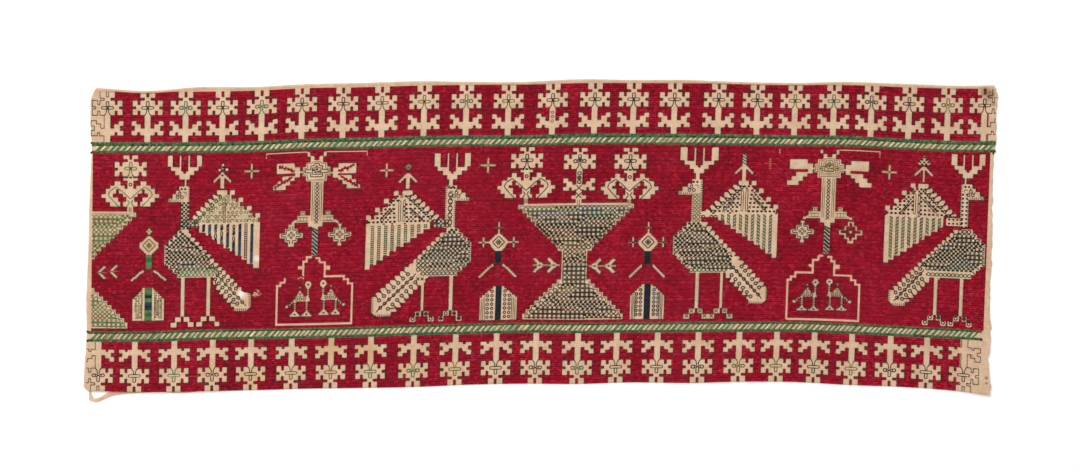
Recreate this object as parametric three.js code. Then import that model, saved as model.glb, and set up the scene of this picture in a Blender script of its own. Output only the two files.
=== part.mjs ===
// A silk embroidery panel on linen, lying face up on a flat surface, in millimetres.
// X runs along its length, Y up its face and Z out of it. The origin is under its centre.
import * as THREE from "three";

// Thicknesses: bare linen, linen under silk, and the turned hem at the top
const linenThickness = 1.0;
const stitchedThickness = 1.8;
const ropeThickness = 2.0;
const hemThickness = 2.0;
const cutEdgeThickness = 1.0;

// Depths down the face
const borderDepth = 49.6;
const upperRopeDepth = 10.7;
const lowerRopeDepth = 10.0;
const hemShoulder = 1.2;
const fieldRows = 7;

// Widths of the bare linen beside the stitching
const leftMargin = 2.0;
const rightMargin = 6.0;
const edgeShoulder = 0.8;
const marginStep = 0.7;
const columnPitch = 15.0;
const nominalLeft = -452.0;
const nominalRight = 450.0;

// The flower at the bottom right is drawn on bare linen
const bareCornerStart = 422.0;

// The strip behind the bottom edge, and the room that the cloth leaves for it
const tapeThickness = 1.0;
const tapeLift = 1.45;
const tapeLiftEnd = -328.0;
const tapeLiftFade = 20.0;
const tapeReach = 7.0;
const tapeReachFade = 8.5;

// The cloth bows upwards in the middle: the heights of its top edge, of the top of both rope
// bands and of its bottom edge, at even sections from left to right
const firstSection = -448.5;
const sectionPitch = 54.0;
const sections = [
  { top: 152.5, upperRope: 98.0, lowerRope: -91.5, bottom: -150.7 },
  { top: 149.3, upperRope: 98.0, lowerRope: -91.5, bottom: -151.8 },
  { top: 153.2, upperRope: 98.0, lowerRope: -89.8, bottom: -151.0 },
  { top: 153.3, upperRope: 99.0, lowerRope: -89.0, bottom: -149.8 },
  { top: 156.2, upperRope: 101.6, lowerRope: -88.2, bottom: -148.3 },
  { top: 157.3, upperRope: 102.4, lowerRope: -86.8, bottom: -147.6 },
  { top: 159.0, upperRope: 104.0, lowerRope: -85.0, bottom: -146.6 },
  { top: 158.5, upperRope: 104.8, lowerRope: -83.8, bottom: -144.3 },
  { top: 158.3, upperRope: 105.0, lowerRope: -82.6, bottom: -143.3 },
  { top: 161.0, upperRope: 106.5, lowerRope: -83.0, bottom: -143.6 },
  { top: 160.3, upperRope: 106.6, lowerRope: -82.4, bottom: -142.0 },
  { top: 160.3, upperRope: 106.4, lowerRope: -82.0, bottom: -142.6 },
  { top: 158.3, upperRope: 105.8, lowerRope: -81.6, bottom: -141.3 },
  { top: 157.3, upperRope: 104.9, lowerRope: -81.8, bottom: -141.6 },
  { top: 158.3, upperRope: 104.4, lowerRope: -83.5, bottom: -144.6 },
  { top: 156.3, upperRope: 101.5, lowerRope: -86.2, bottom: -146.6 },
  { top: 154.3, upperRope: 99.3, lowerRope: -88.8, bottom: -150.6 },
  { top: 155.2, upperRope: 99.0, lowerRope: -92.2, bottom: -157.6 },
];

// The left edge and the ragged right edge, from the bottom up
const sides = [
  { height: -157.0, left: -451.0, right: 448.6 },
  { height: -150.8, left: -451.0, right: 448.8 },
  { height: -147.8, left: -456.5, right: 449.1 },
  { height: -134.0, left: -456.2, right: 448.5 },
  { height: -120.0, left: -455.6, right: 447.1 },
  { height: -108.0, left: -454.2, right: 449.7 },
  { height: -90.0, left: -453.6, right: 449.9 },
  { height: -60.0, left: -454.0, right: 448.9 },
  { height: -10.0, left: -451.8, right: 451.5 },
  { height: 45.0, left: -450.8, right: 451.7 },
  { height: 80.0, left: -449.0, right: 452.7 },
  { height: 92.0, left: -448.4, right: 454.7 },
  { height: 118.0, left: -450.0, right: 456.1 },
  { height: 140.0, left: -449.8, right: 457.4 },
  { height: 148.0, left: -446.8, right: 456.7 },
  { height: 154.0, left: -442.8, right: 453.4 },
];

// Places where the cloth stands a little off the surface
const ripples = [
  { name: "left of the hem", x: -412, y: 152, reachX: 55, reachY: 34, rise: 1.2 },
  { name: "right of the hem", x: 385, y: 155, reachX: 65, reachY: 32, rise: 1.1 },
  { name: "left edge", x: -453, y: -25, reachX: 26, reachY: 70, rise: 1.0 },
  { name: "ragged edge", x: 449, y: -118, reachX: 22, reachY: 34, rise: 1.6 },
  { name: "bottom right corner", x: 450, y: -158, reachX: 52, reachY: 30, rise: 2.4 },
  { name: "bottom edge", x: 185, y: -142, reachX: 110, reachY: 24, rise: 0.8 },
];

// The loose strip, from where it comes out under the corner, round its fold and back along the
// bottom edge. Each section gives the strip's outer and inner edge and the height of its underside.
const tapeSections = [
  { outerX: -451.2, outerY: -146.6, innerX: -447.6, innerY: -147.0, base: 0.0 },
  { outerX: -451.4, outerY: -151.2, innerX: -449.4, innerY: -151.0, base: 0.0 },
  { outerX: -451.3, outerY: -155.8, innerX: -448.2, innerY: -155.5, base: 0.0 },
  { outerX: -450.8, outerY: -160.0, innerX: -446.2, innerY: -158.6, base: 0.2 },
  { outerX: -446.9, outerY: -160.9, innerX: -445.5, innerY: -158.3, base: 0.9 },
  { outerX: -442.8, outerY: -161.4, innerX: -443.2, innerY: -158.1, base: 0.6 },
  { outerX: -437.5, outerY: -159.5, innerX: -439.3, innerY: -156.6, base: 0.1 },
  { outerX: -433.2, outerY: -157.7, innerX: -435.2, innerY: -153.9, base: 0.0 },
  { outerX: -428.5, outerY: -155.7, innerX: -430.0, innerY: -151.5, base: 0.0 },
  { outerX: -422.5, outerY: -154.6, innerX: -423.3, innerY: -150.6, base: 0.0 },
  { outerX: -414.5, outerY: -153.6, innerX: -414.9, innerY: -149.8, base: 0.0 },
  { outerX: -403.5, outerY: -152.9, innerX: -403.7, innerY: -149.2, base: 0.0 },
  { outerX: -390.5, outerY: -152.1, innerX: -390.5, innerY: -148.4, base: 0.0 },
  { outerX: -377.5, outerY: -151.7, innerX: -377.5, innerY: -148.0, base: 0.0 },
  { outerX: -368.5, outerY: -152.7, innerX: -368.5, innerY: -148.9, base: 0.0 },
  { outerX: -356.5, outerY: -152.7, innerX: -356.5, innerY: -148.8, base: 0.0 },
  { outerX: -343.5, outerY: -151.3, innerX: -343.5, innerY: -147.5, base: 0.0 },
  { outerX: -334.5, outerY: -149.7, innerX: -334.5, innerY: -145.9, base: 0.0 },
];

const blend = (from, to, share) => from + (to - from) * share;
const fade = (distance, reach) => THREE.MathUtils.smoothstep(reach - Math.abs(distance), 0, reach);

// A smooth curve through one column of a table, read at a place along its rows
function curveThrough(values, place) {
  const last = values.length - 1;
  const along = THREE.MathUtils.clamp(place, 0, last);
  const row = Math.min(Math.floor(along), last - 1);
  const share = along - row;
  const start = values[row];
  const end = values[row + 1];
  const startSlope = (end - values[Math.max(row - 1, 0)]) / 2;
  const endSlope = (values[Math.min(row + 2, last)] - start) / 2;
  const hump = share * (1 - share);
  const bend = (startSlope - (end - start)) * (1 - share) - (endSlope - (end - start)) * share;
  return blend(start, end, share) + hump * bend;
}

function sectionHeight(column, x) {
  const values = sections.map((section) => section[column]);
  return curveThrough(values, (x - firstSection) / sectionPitch);
}

function sideEdge(column, height) {
  const above = sides.findIndex((side) => side.height > height);
  const upper = above < 0 ? sides.length - 1 : Math.max(above, 1);
  const [low, high] = [sides[upper - 1], sides[upper]];
  const share = THREE.MathUtils.clamp((height - low.height) / (high.height - low.height), 0, 1);
  return blend(low[column], high[column], share);
}

// The lines across the cloth, from the top edge down, each with its thickness
function levelsAt(x) {
  const top = sectionHeight("top", x);
  const upperRope = sectionHeight("upperRope", x);
  const lowerRope = sectionHeight("lowerRope", x);
  const bottom = sectionHeight("bottom", x);
  const upperRopeFoot = upperRope - upperRopeDepth;
  const lowerRopeFoot = lowerRope - lowerRopeDepth;
  const levels = [
    { y: top, thickness: cutEdgeThickness },
    { y: top - hemShoulder, thickness: hemThickness },
    { y: upperRope + borderDepth, thickness: stitchedThickness },
    { y: upperRope + (borderDepth * 2) / 3, thickness: stitchedThickness },
    { y: upperRope + borderDepth / 3, thickness: stitchedThickness },
    { y: upperRope, thickness: stitchedThickness },
    { y: upperRope - upperRopeDepth / 2, thickness: ropeThickness },
    { y: upperRopeFoot, thickness: stitchedThickness },
  ];
  for (let row = 1; row <= fieldRows; row += 1) {
    const share = row / (fieldRows + 1);
    levels.push({ y: blend(upperRopeFoot, lowerRope, share), thickness: stitchedThickness });
  }
  levels.push(
    { y: lowerRope, thickness: stitchedThickness },
    { y: lowerRope - lowerRopeDepth / 2, thickness: ropeThickness },
    { y: lowerRopeFoot, thickness: stitchedThickness, corner: true },
    { y: lowerRopeFoot - borderDepth / 3, thickness: stitchedThickness, corner: true },
    { y: bottom + tapeReach + tapeReachFade, thickness: stitchedThickness, corner: true },
    { y: bottom + tapeReach, thickness: stitchedThickness, corner: true },
    { y: bottom + edgeShoulder, thickness: stitchedThickness, corner: true },
    { y: bottom, thickness: cutEdgeThickness },
  );
  return levels;
}

// The lines down the cloth, from left to right. The outer ones follow the two side edges.
function columnPlaces() {
  const inner = Math.round((nominalRight - nominalLeft) / columnPitch);
  const places = [
    { near: nominalLeft, side: "left", inset: 0, bare: true },
    { near: nominalLeft, side: "left", inset: edgeShoulder, bare: true },
    { near: nominalLeft, side: "left", inset: leftMargin, bare: false },
  ];
  for (let column = 1; column < inner; column += 1) {
    places.push({ near: blend(nominalLeft, nominalRight, column / inner), bare: false });
  }
  places.push(
    { near: nominalRight, side: "right", inset: -rightMargin - marginStep, bare: false },
    { near: nominalRight, side: "right", inset: -rightMargin, bare: true },
    { near: nominalRight, side: "right", inset: -edgeShoulder, bare: true },
    { near: nominalRight, side: "right", inset: 0, bare: true },
  );
  return places;
}

// How far the cloth's underside stands off the surface
function liftAt(x, y) {
  const overTape = y - sectionHeight("bottom", x);
  const alongTape = 1 - THREE.MathUtils.smoothstep(x, tapeLiftEnd, tapeLiftEnd + tapeLiftFade);
  const acrossTape = 1 - THREE.MathUtils.clamp((overTape - tapeReach) / tapeReachFade, 0, 1);
  const ripple = ripples.reduce(
    (height, { x: centreX, y: centreY, reachX, reachY, rise }) =>
      height + rise * fade(x - centreX, reachX) * fade(y - centreY, reachY),
    0,
  );
  return Math.max(ripple, tapeLift * alongTape * acrossTape);
}

// A closed solid between an upper and a lower grid of points of the same size
function solidBetween(upper, lower) {
  const columns = upper.length;
  const rows = upper[0].length;
  const points = [...upper.flat(), ...lower.flat()];
  const above = (column, row) => column * rows + row;
  const below = (column, row) => columns * rows + above(column, row);
  const faces = [];
  const quad = (a, b, c, d) => faces.push(a, b, c, a, c, d);
  for (let column = 0; column + 1 < columns; column += 1) {
    for (let row = 0; row + 1 < rows; row += 1) {
      const corners = [[0, 0], [0, 1], [1, 1], [1, 0]];
      const around = corners.map(([right, down]) => [column + right, row + down]);
      quad(...around.map(([c, r]) => above(c, r)));
      quad(...around.reverse().map(([c, r]) => below(c, r)));
    }
    const last = rows - 1;
    quad(above(column, 0), above(column + 1, 0), below(column + 1, 0), below(column, 0));
    quad(above(column + 1, last), above(column, last), below(column, last), below(column + 1, last));
  }
  for (let row = 0; row + 1 < rows; row += 1) {
    const last = columns - 1;
    quad(above(0, row + 1), above(0, row), below(0, row), below(0, row + 1));
    quad(above(last, row), above(last, row + 1), below(last, row + 1), below(last, row));
  }
  const geometry = new THREE.BufferGeometry().setFromPoints(points);
  geometry.setIndex(faces);
  geometry.computeVertexNormals();
  return geometry;
}

function linenPanel() {
  const upper = [];
  const lower = [];
  for (const place of columnPlaces()) {
    const levels = levelsAt(place.near);
    const column = levels.map((level) => {
      const x = place.side ? sideEdge(place.side, level.y) + place.inset : place.near;
      const bare = place.bare || (level.corner && x > bareCornerStart);
      const thickness = bare ? Math.min(level.thickness, linenThickness) : level.thickness;
      return { x, y: level.y, lift: liftAt(x, level.y), thickness };
    });
    upper.push(column.map(({ x, y, lift, thickness }) => new THREE.Vector3(x, y, lift + thickness)));
    lower.push(column.map(({ x, y, lift }) => new THREE.Vector3(x, y, lift)));
  }
  return solidBetween(upper, lower);
}

function edgeTape() {
  const strip = (rise) =>
    tapeSections.map(({ outerX, outerY, innerX, innerY, base }) => [
      new THREE.Vector3(innerX, innerY, base + rise),
      new THREE.Vector3(outerX, outerY, base + rise),
    ]);
  return solidBetween(strip(tapeThickness), strip(0));
}

function piece(name, geometry, look) {
  const mesh = new THREE.Mesh(geometry, new THREE.MeshStandardMaterial(look));
  mesh.name = name;
  return mesh;
}

const embroidery = new THREE.Group();
embroidery.add(
  piece("linen_panel", linenPanel(), { color: 0x9a1230, roughness: 0.7, metalness: 0 }),
  piece("edge_tape", edgeTape(), { color: 0xd6b894, roughness: 0.9, metalness: 0 }),
);

export default embroidery;
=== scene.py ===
import bpy
import numpy as np
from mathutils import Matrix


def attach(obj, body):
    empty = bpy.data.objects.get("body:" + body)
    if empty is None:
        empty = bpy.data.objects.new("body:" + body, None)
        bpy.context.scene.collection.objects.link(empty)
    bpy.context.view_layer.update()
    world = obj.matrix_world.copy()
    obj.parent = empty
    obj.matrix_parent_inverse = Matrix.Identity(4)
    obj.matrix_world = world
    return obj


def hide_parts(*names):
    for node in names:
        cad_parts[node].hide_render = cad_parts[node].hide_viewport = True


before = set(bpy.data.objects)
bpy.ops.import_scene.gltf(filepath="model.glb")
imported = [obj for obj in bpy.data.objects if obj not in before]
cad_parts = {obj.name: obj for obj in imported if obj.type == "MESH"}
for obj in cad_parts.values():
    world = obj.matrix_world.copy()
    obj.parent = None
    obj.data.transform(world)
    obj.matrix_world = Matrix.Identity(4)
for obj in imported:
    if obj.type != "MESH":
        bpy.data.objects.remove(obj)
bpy.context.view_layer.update()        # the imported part: a linen panel and the strip behind its bottom edge
print("packed part loaded")

mm = 0.001
dice = np.random.default_rng(11)

# the cloth's shape, in millimetres, as in the part's source

cloth = {
    "linen": 1.0,            # thickness of the bare linen
    "hem": 2.0,              # thickness of the turned hem
    "cutEdge": 0.7,          # thickness along the other edges
    "border": 50.5,          # depth of the upper border
    "upperRope": 10.7,
    "lowerRope": 10.0,
    "sectionStart": -448.5,
    "sectionPitch": 54.0,
    "fray": 0.5,             # how far the raw edge wanders
    "pucker": 0.07,
}
sections = {
    "top": [152.5, 149.3, 153.2, 153.3, 156.2, 157.3, 159.0, 158.5, 158.3,
            161.0, 160.3, 160.3, 158.3, 157.3, 158.3, 156.3, 154.3, 155.2],
    "upperRope": [98.0, 98.0, 98.0, 99.0, 101.6, 102.4, 104.0, 104.8, 105.0,
                  106.5, 106.6, 106.4, 105.8, 104.9, 104.4, 101.5, 99.3, 99.0],
    "lowerRope": [-91.5, -91.5, -89.8, -89.0, -88.2, -86.8, -85.0, -83.8, -82.6,
                  -83.0, -82.4, -82.0, -81.6, -81.8, -83.5, -86.2, -88.8, -92.2],
    "bottom": [-150.7, -151.8, -151.0, -149.8, -148.3, -147.6, -146.6, -144.3, -143.3,
               -143.6, -142.0, -142.6, -141.3, -141.6, -144.6, -146.6, -150.6, -157.6],
}
sides = {
    "height": [-157.0, -150.8, -147.8, -134.0, -120.0, -108.0, -90.0, -60.0,
               -10.0, 45.0, 80.0, 92.0, 118.0, 140.0, 148.0, 154.0],
    "left": [-451.0, -451.0, -456.5, -456.2, -455.6, -454.2, -453.6, -454.0,
             -451.8, -450.8, -449.0, -448.4, -450.0, -449.8, -446.8, -442.8],
    "right": [448.6, 448.8, 449.1, 448.5, 447.1, 449.7, 449.9, 448.9,
              451.5, 451.7, 452.7, 454.7, 456.1, 457.4, 456.7, 453.4],
}
ripples = {
    "left of the hem": (-412, 152, 55, 34, 1.2),       # x, y, reach across, reach up, rise
    "right of the hem": (385, 155, 65, 32, 1.1),
    "left edge": (-453, -25, 26, 70, 1.0),
    "ragged edge": (449, -118, 22, 34, 1.6),
    "bottom right corner": (450, -158, 52, 30, 2.4),
    "bottom edge": (185, -142, 110, 24, 0.8),
}
overTape = {"lift": 1.45, "end": -328.0, "fade": 20.0, "reach": 7.0, "reachFade": 8.5}
# how far the threads lean over, by place along the cloth
lean = {"x": [-448, -223, 35, 290, 447], "per mm": [0.010, 0.027, 0.035, 0.037, 0.039]}


def smooth(value):
    value = np.clip(value, 0, 1)
    return value * value * (3 - 2 * value)


def curveThrough(values, place):
    values = np.asarray(values)
    last = len(values) - 1
    along = np.clip(place, 0, last)
    row = np.minimum(np.floor(along).astype(int), last - 1)
    share = along - row
    start, end = values[row], values[row + 1]
    startSlope = (end - values[np.maximum(row - 1, 0)]) / 2
    endSlope = (values[np.minimum(row + 2, last)] - start) / 2
    bend = (startSlope - (end - start)) * (1 - share) - (endSlope - (end - start)) * share
    return start + (end - start) * share + share * (1 - share) * bend


measuredAt = np.arange(-470.0, 471.0)
heights = {
    name: curveThrough(column, (measuredAt - cloth["sectionStart"]) / cloth["sectionPitch"])
    for name, column in sections.items()
}


def heightOf(name, x):
    return np.interp(x, measuredAt, heights[name])


def liftAt(x, y):
    above = y - heightOf("bottom", x)
    along = 1 - smooth((x - overTape["end"]) / overTape["fade"])
    across = 1 - np.clip((above - overTape["reach"]) / overTape["reachFade"], 0, 1)
    wave = np.zeros(np.broadcast(x, y).shape)
    for centreX, centreY, reachX, reachY, rise in ripples.values():
        wave += rise * smooth(1 - abs(x - centreX) / reachX) * smooth(1 - abs(y - centreY) / reachY)
    return np.maximum(wave, overTape["lift"] * along * across)


def faceAt(x, y):
    # the linen's face, with the small puckers that the stitches pull into it
    slow = np.sin(0.16 * x + 1.7 * np.sin(0.045 * y)) * np.sin(0.19 * y + 1.1 * np.sin(0.06 * x))
    quick = np.sin(0.43 * x + 2.1 * np.sin(0.11 * y)) * np.sin(0.39 * y + 1.3)
    return liftAt(x, y) + cloth["linen"] + cloth["pucker"] * (slow + 0.5 * quick)


# the chart: half stitches across and down, from the upper left of the stitching

chart = {
    "stitch": 2.15,
    "left": -452.5,          # where column 0 lies
    "across": 420,           # stitches
    "bands": [23.5, 5, 83, 5, 23.5],    # border, rope, field, rope, border
    "topRise": {"x": [300, 400, 440], "mm": [0, 1.5, 1.9]},     # the border is deeper at the right
    # where the red ground starts and ends
    "worked": {"above": (-433.5, 443.5), "field": (-448.2, 446.5), "below": (-437.0, 424.0)},
    "fieldCols": (4, 836),   # threads keep between these columns
    "borderMiddle": 125,     # the height at which the borders' flowers are placed
    "datum": (-540.5, 240.25),            # places are read right of and below this point
}
half = chart["stitch"] / 2
bandEnds = np.concatenate([[0], np.cumsum(chart["bands"])])
rows, cols = int(bandEnds[-1] * 2), chart["across"] * 2


def bandHeights(x):
    upper, lower = heightOf("upperRope", x), heightOf("lowerRope", x)
    deeper = np.interp(x, chart["topRise"]["x"], chart["topRise"]["mm"])
    return np.stack([
        upper + cloth["border"] + deeper, upper, upper - cloth["upperRope"],
        lower, lower - cloth["lowerRope"], heightOf("bottom", x),
    ])


def bandOf(row):
    # the band that a row of the chart lies in, and how far down that band
    band = np.clip(np.searchsorted(bandEnds, row / 2, side="right") - 1, 0, len(bandEnds) - 2)
    return band, (row / 2 - bandEnds[band]) / (bandEnds[band + 1] - bandEnds[band])


def leanAt(x):
    return np.interp(x, lean["x"], lean["per mm"])


def onSheet(col, row):
    col, row = np.broadcast_arrays(np.asarray(col, float), np.asarray(row, float))
    straight = chart["left"] + col * half
    band, share = bandOf(row)
    tilt = leanAt(straight)
    x = straight
    for _ in range(2):
        levels = bandHeights(x)
        start = np.take_along_axis(levels, band[None], 0)[0]
        end = np.take_along_axis(levels, band[None] + 1, 0)[0]
        y = start + (end - start) * share
        x = straight + tilt * y
    return x, y


def colOf(x, y):
    return (x - leanAt(x) * y - chart["left"]) / half


def onChart(right, down):
    x, y = right + chart["datum"][0], chart["datum"][1] - down
    levels = bandHeights(np.array([x]))[:, 0]
    return colOf(x, y), 2 * float(np.interp(-y, -levels, bandEnds))


bare = np.zeros((rows, cols), bool)          # where the linen is left showing
edgeDye = np.zeros((rows, cols), np.int8)    # what the outline around it is worked in
plainEdge = np.zeros((rows, cols), bool)     # bare, but with no outline
dyes = {
    "forest": (46, 54, 34), "ink": (26, 24, 22), "green": (62, 114, 70), "leaf": (108, 134, 80),
    "teal": (28, 78, 80), "olive": (116, 106, 46), "navy": (16, 36, 54), "blue": (44, 78, 110),
    "cream": (240, 214, 178), "sand": (196, 166, 110), "brown": (64, 40, 26), "rose": (172, 34, 56),
    "sage": (102, 146, 102), "blush": (206, 110, 112), "reed": (220, 208, 160),
}
dyeNumber = {name: number for number, name in enumerate(dyes)}
tickPitch = 0.98    # stitches from one small tick along an edge to the next
threads = []        # start column and row, end column and row, width, rise, dye, tapers


def inside(points, across, down):
    found = np.zeros(across.shape, bool)
    for (x0, y0), (x1, y1) in zip(points, points[1:] + points[:1]):
        if y0 != y1:
            crosses = (y0 > down) != (y1 > down)
            found ^= crosses & (across < (x1 - x0) * (down - y0) / (y1 - y0) + x0)
    return found


class Pen:
    # draws around one place on the chart, in stitches right and down
    def __init__(self, col, row, flip=1, turn=1, edge="forest"):
        self.col, self.row, self.flip, self.turn, self.edge = col, row, flip, turn, edge

    def at(self, x, y):
        return self.col + 2 * x * self.flip, self.row + 2 * y * self.turn

    def near(self, right, down):
        # a place given right of and below the datum, as this pen counts it
        col, row = onChart(right, down)
        return (col - self.col) / 2 * self.flip, (row - self.row) / 2 * self.turn

    def moved(self, x, y, flip=1):
        return Pen(*self.at(x, y), self.flip * flip, self.turn, self.edge)

    def mark(self, box, chosen, shows):
        bare[box][chosen] = shows
        if shows:
            edgeDye[box][chosen] = dyeNumber[self.edge or "forest"]
            plainEdge[box][chosen] = self.edge is None

    def open(self, x0, y0, x1, y1, shows=True):
        (c0, r0), (c1, r1) = self.at(x0, y0), self.at(x1, y1)
        c0, c1 = sorted((round(c0), round(c1)))
        r0, r1 = sorted((round(r0), round(r1)))
        self.mark((slice(max(0, r0), max(0, r1)), slice(max(0, c0), max(0, c1))), ..., shows)

    def close(self, *box):
        self.open(*box, shows=False)

    def both(self, x0, y0, x1, y1, shows=True):
        self.open(x0, y0, x1, y1, shows)
        self.open(-x1, y0, -x0, y1, shows)

    def rows(self, *bands):
        for y0, y1, reach in bands:
            self.open(-reach, y0, reach, y1)

    def fill(self, points, shows=True):
        placed = [self.at(*point) for point in points]
        c0, c1 = (int(end(p[0] for p in placed)) for end in (min, max))
        r0, r1 = (int(end(p[1] for p in placed)) for end in (min, max))
        c0, c1, r0, r1 = max(0, c0 - 1), min(cols, c1 + 2), max(0, r0 - 1), min(rows, r1 + 2)
        across, down = np.meshgrid(np.arange(c0, c1) + 0.5, np.arange(r0, r1) + 0.5)
        self.mark((slice(r0, r1), slice(c0, c1)), inside(placed, across, down), shows)

    def bar(self, x0, y0, x1, y1, width, shows=True):
        run, fall = x1 - x0, y1 - y0
        long = (run * run + fall * fall) ** 0.5
        across, down = -fall / long * width / 2, run / long * width / 2
        self.fill([(x0 + across, y0 + down), (x1 + across, y1 + down),
                   (x1 - across, y1 - down), (x0 - across, y0 - down)], shows)

    def slit(self, x0, y0, x1, y1, width):
        # red silk through a bare part, its edges uneven and not outlined
        Pen(self.col, self.row, self.flip, self.turn, None).bar(x0, y0, x1, y1, width + 1.1)
        self.bar(x0, y0, x1, y1, width, False)
        for share in np.arange(0.08, 0.95, 0.13):
            x, y = x0 + (x1 - x0) * share, y0 + (y1 - y0) * share
            side = 1 if dice.random() < 0.5 else -1
            self.close(x - 0.25, y, x + 0.25, y + side * 1.0)

    def path(self, points, width=1.0):
        reach = width / 2
        for (x0, y0), (x1, y1) in zip(points, points[1:]):
            self.open(min(x0, x1) - reach, min(y0, y1) - reach,
                      max(x0, x1) + reach, max(y0, y1) + reach)

    def thread(self, points, dye="ink", width=0.85, rise=0.5, tapers=True, closed=False):
        placed = [self.at(*point) for point in points]
        low, high = chart["fieldCols"]
        for start, end in zip(placed, placed[1:] + (placed[:1] if closed else [])):
            if max(start[0], end[0]) < low or min(start[0], end[0]) > high:
                continue
            c0, c1 = (min(max(place[0], low), high) for place in (start, end))
            threads.append((c0, start[1], c1, end[1], width, rise, dyeNumber[dye], tapers))

    def twins(self, *drawn):
        # the same lines on both sides, each with its dye and width
        for side in (-1, 1):
            for points, *how in drawn:
                self.thread([(side * x, y) for x, y in points], *how)

    def twin(self, points, *how):
        self.twins((points, *how))

    def cross(self, x, y, reach, dye, width):
        for turn in (-1, 1):
            self.thread([(x - reach, y - reach * turn), (x + reach, y + reach * turn)], dye, width)

    def ticks(self, places, start, end, dye, width, upright=False):
        # short lines from start to end at each place, across or upright
        for place in places:
            points = [(start, place), (end, place)]
            self.thread([point[::-1] for point in points] if upright else points, dye, width)

    def ring(self, x, y, across=0.8, down=0.8, dye="ink", width=0.75, corners=8):
        turns = (np.arange(corners) + 0.5) * 2 * np.pi / corners
        points = [(x + across * np.cos(t), y + down * np.sin(t)) for t in turns]
        self.thread(points, dye, width, 0.45, False, True)

    def knot(self, x, y, width=0.7, height=0.7, dye="ink", rise=0.5):
        self.thread([(x - width / 2, y), (x + width / 2, y)], dye, height * chart["stitch"], rise)

    def satin(self, x0, y0, x1, y1, dye="navy", step=0.45, slant=0.0):
        count = max(1, round(abs(y1 - y0) / step))
        for place in (np.arange(count) + 0.5) / count:
            y = y0 + (y1 - y0) * place
            self.thread([(x0, y + slant / 2), (x1, y - slant / 2)], dye,
                        1.25 * abs(y1 - y0) / count * chart["stitch"], 0.6)


def penAt(right, down, flip=1, turn=1, edge="forest"):
    col, row = onChart(right, down)
    return Pen(round(col), round(row), flip, turn, edge)


def borderPen(right, row, turn=1):
    col = colOf(right + chart["datum"][0], chart["borderMiddle"] * turn)
    return Pen(round(col), row, 1, turn, "forest")


# motifs, each counted in stitches from its own top

def flowerHead(pen, ear=3, neck=1.0, reach=7.2):
    pen.open(-3.5, 0, 3.5, ear)
    pen.close(-0.5, 0, 0.5, max(ear - 0.5, 2))
    pen.open(-1.5, ear, 1.5, ear + neck)
    top = ear + neck
    pen.open(-reach, top, reach, top + 7)
    pen.both(reach - 3.7, top, reach - 2.7, top + 2, False)
    pen.both(reach - 3.7, top + 5, reach - 2.7, top + 7, False)
    pen.both(reach - 1.8, top + 3, reach, top + 4, False)
    return top


def flowerCross(pen, top, dye="green", heart=None, width=0.85):
    # an arch and a long loop in the middle of the flower, and the lines that run up from the stem
    pen.thread([(-0.6, top + 3), (-0.6, top + 0.6), (0.6, top + 0.6), (0.6, top + 3)], dye, width)
    curly = dice.random() < 0.2
    if curly:        # small loops about a crossing
        for side in (-1, 1):
            pen.ring(side * 2.1, top + 3.5, 0.85, 0.75, dye, width)
            pen.thread([(side * 1.3, top + 4.2), (-side * 1.3, top + 2.7)], dye, width)
    else:
        loop = ((-2.4, 2.9), (2.4, 2.9), (2.9, 3.5), (2.4, 4.1), (-2.4, 4.1), (-2.9, 3.5))
        pen.thread([(x, top + y) for x, y in loop], dye, width, closed=True)
    pen.twin([(1.5, top + 7.2), (0.5, top + 5.7), (0.4, top + 4.1)], dye, width)
    if heart and not curly:
        pen.knot(0, top + 3.5, 1.1, 1.0, heart)


def leafPair(pen, reach=7.5, height=6.8):
    pen.both(reach - 2.7, 0, reach, 2.6)
    pen.both(reach - 4.7, 1.5, reach - 1.5, 4.2)
    pen.both(1.5, 3.2, reach - 2, height)
    pen.both(reach - 3, 4.2, reach, height)
    pen.both(reach - 4.1, height - 1.4, reach - 2.9, height, False)


def borderFlower(pen, leafTop, leafHeight, dye="forest", heart=None, rings=False):
    top = flowerHead(pen)
    flowerCross(pen, top, dye, heart, 1.0)
    pen.open(-1.5, top + 7, 1.5, 23.5)
    leafPair(pen.moved(0, leafTop), height=leafHeight)
    if rings:
        for y in (13.2, 15.2, 17.2):
            pen.ring(0, y, 0.6, 0.6, "olive", 0.7)


def smallCross(pen, reach=3.7, rise=3.6, heart="ink"):
    pen.open(-reach, -0.5, reach, 0.5)
    pen.open(-0.6, -rise, 0.6, rise)
    pen.knot(0, 0, 0.9, 0.9, heart)


def fishBone(pen):
    # a shaft with two forked tails, pointing right
    pen.open(-9.8, -0.4, 3.2, 0.4)
    for apex in (-6.4, 0.2):
        for side in (-1, 1):
            pen.bar(apex + 0.8, 0, apex - 3.1, side * 3.2, 1.75)
        pen.knot(apex - 0.2, 0, 1.0, 0.9, "green")
    pen.thread([(-9.6, 0), (2.8, 0)], "leaf", 0.55)


def diamondOf(pen, reach, dye="forest"):
    pen.fill([(-0.6, -reach), (0.6, -reach), (reach, -1.1), (reach, 1.1), (1.5, reach), (-1.5, reach),
              (-reach, 1.1), (-reach, -1.1)])
    far = reach * 0.66
    pen.thread([(0, -far), (far, 0), (0, far), (-far, 0)], dye, 1.2, closed=True)
    for x, y in ((-0.75, 0), (0.75, 0), (0, -0.75), (0, 0.75)):
        pen.ring(x, y, 0.5, 0.5, dye, 0.95, 6)


def patchWork(pen, reach, top, foot, choices):
    # close stitches straight across, the dye changing every few
    y = top
    while y < foot - 0.1:
        end = min(y + float(dice.choice([0.9, 1.35, 1.8])), foot)
        pen.satin(-reach, y, reach, end, pick(choices))
        y = end


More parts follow.
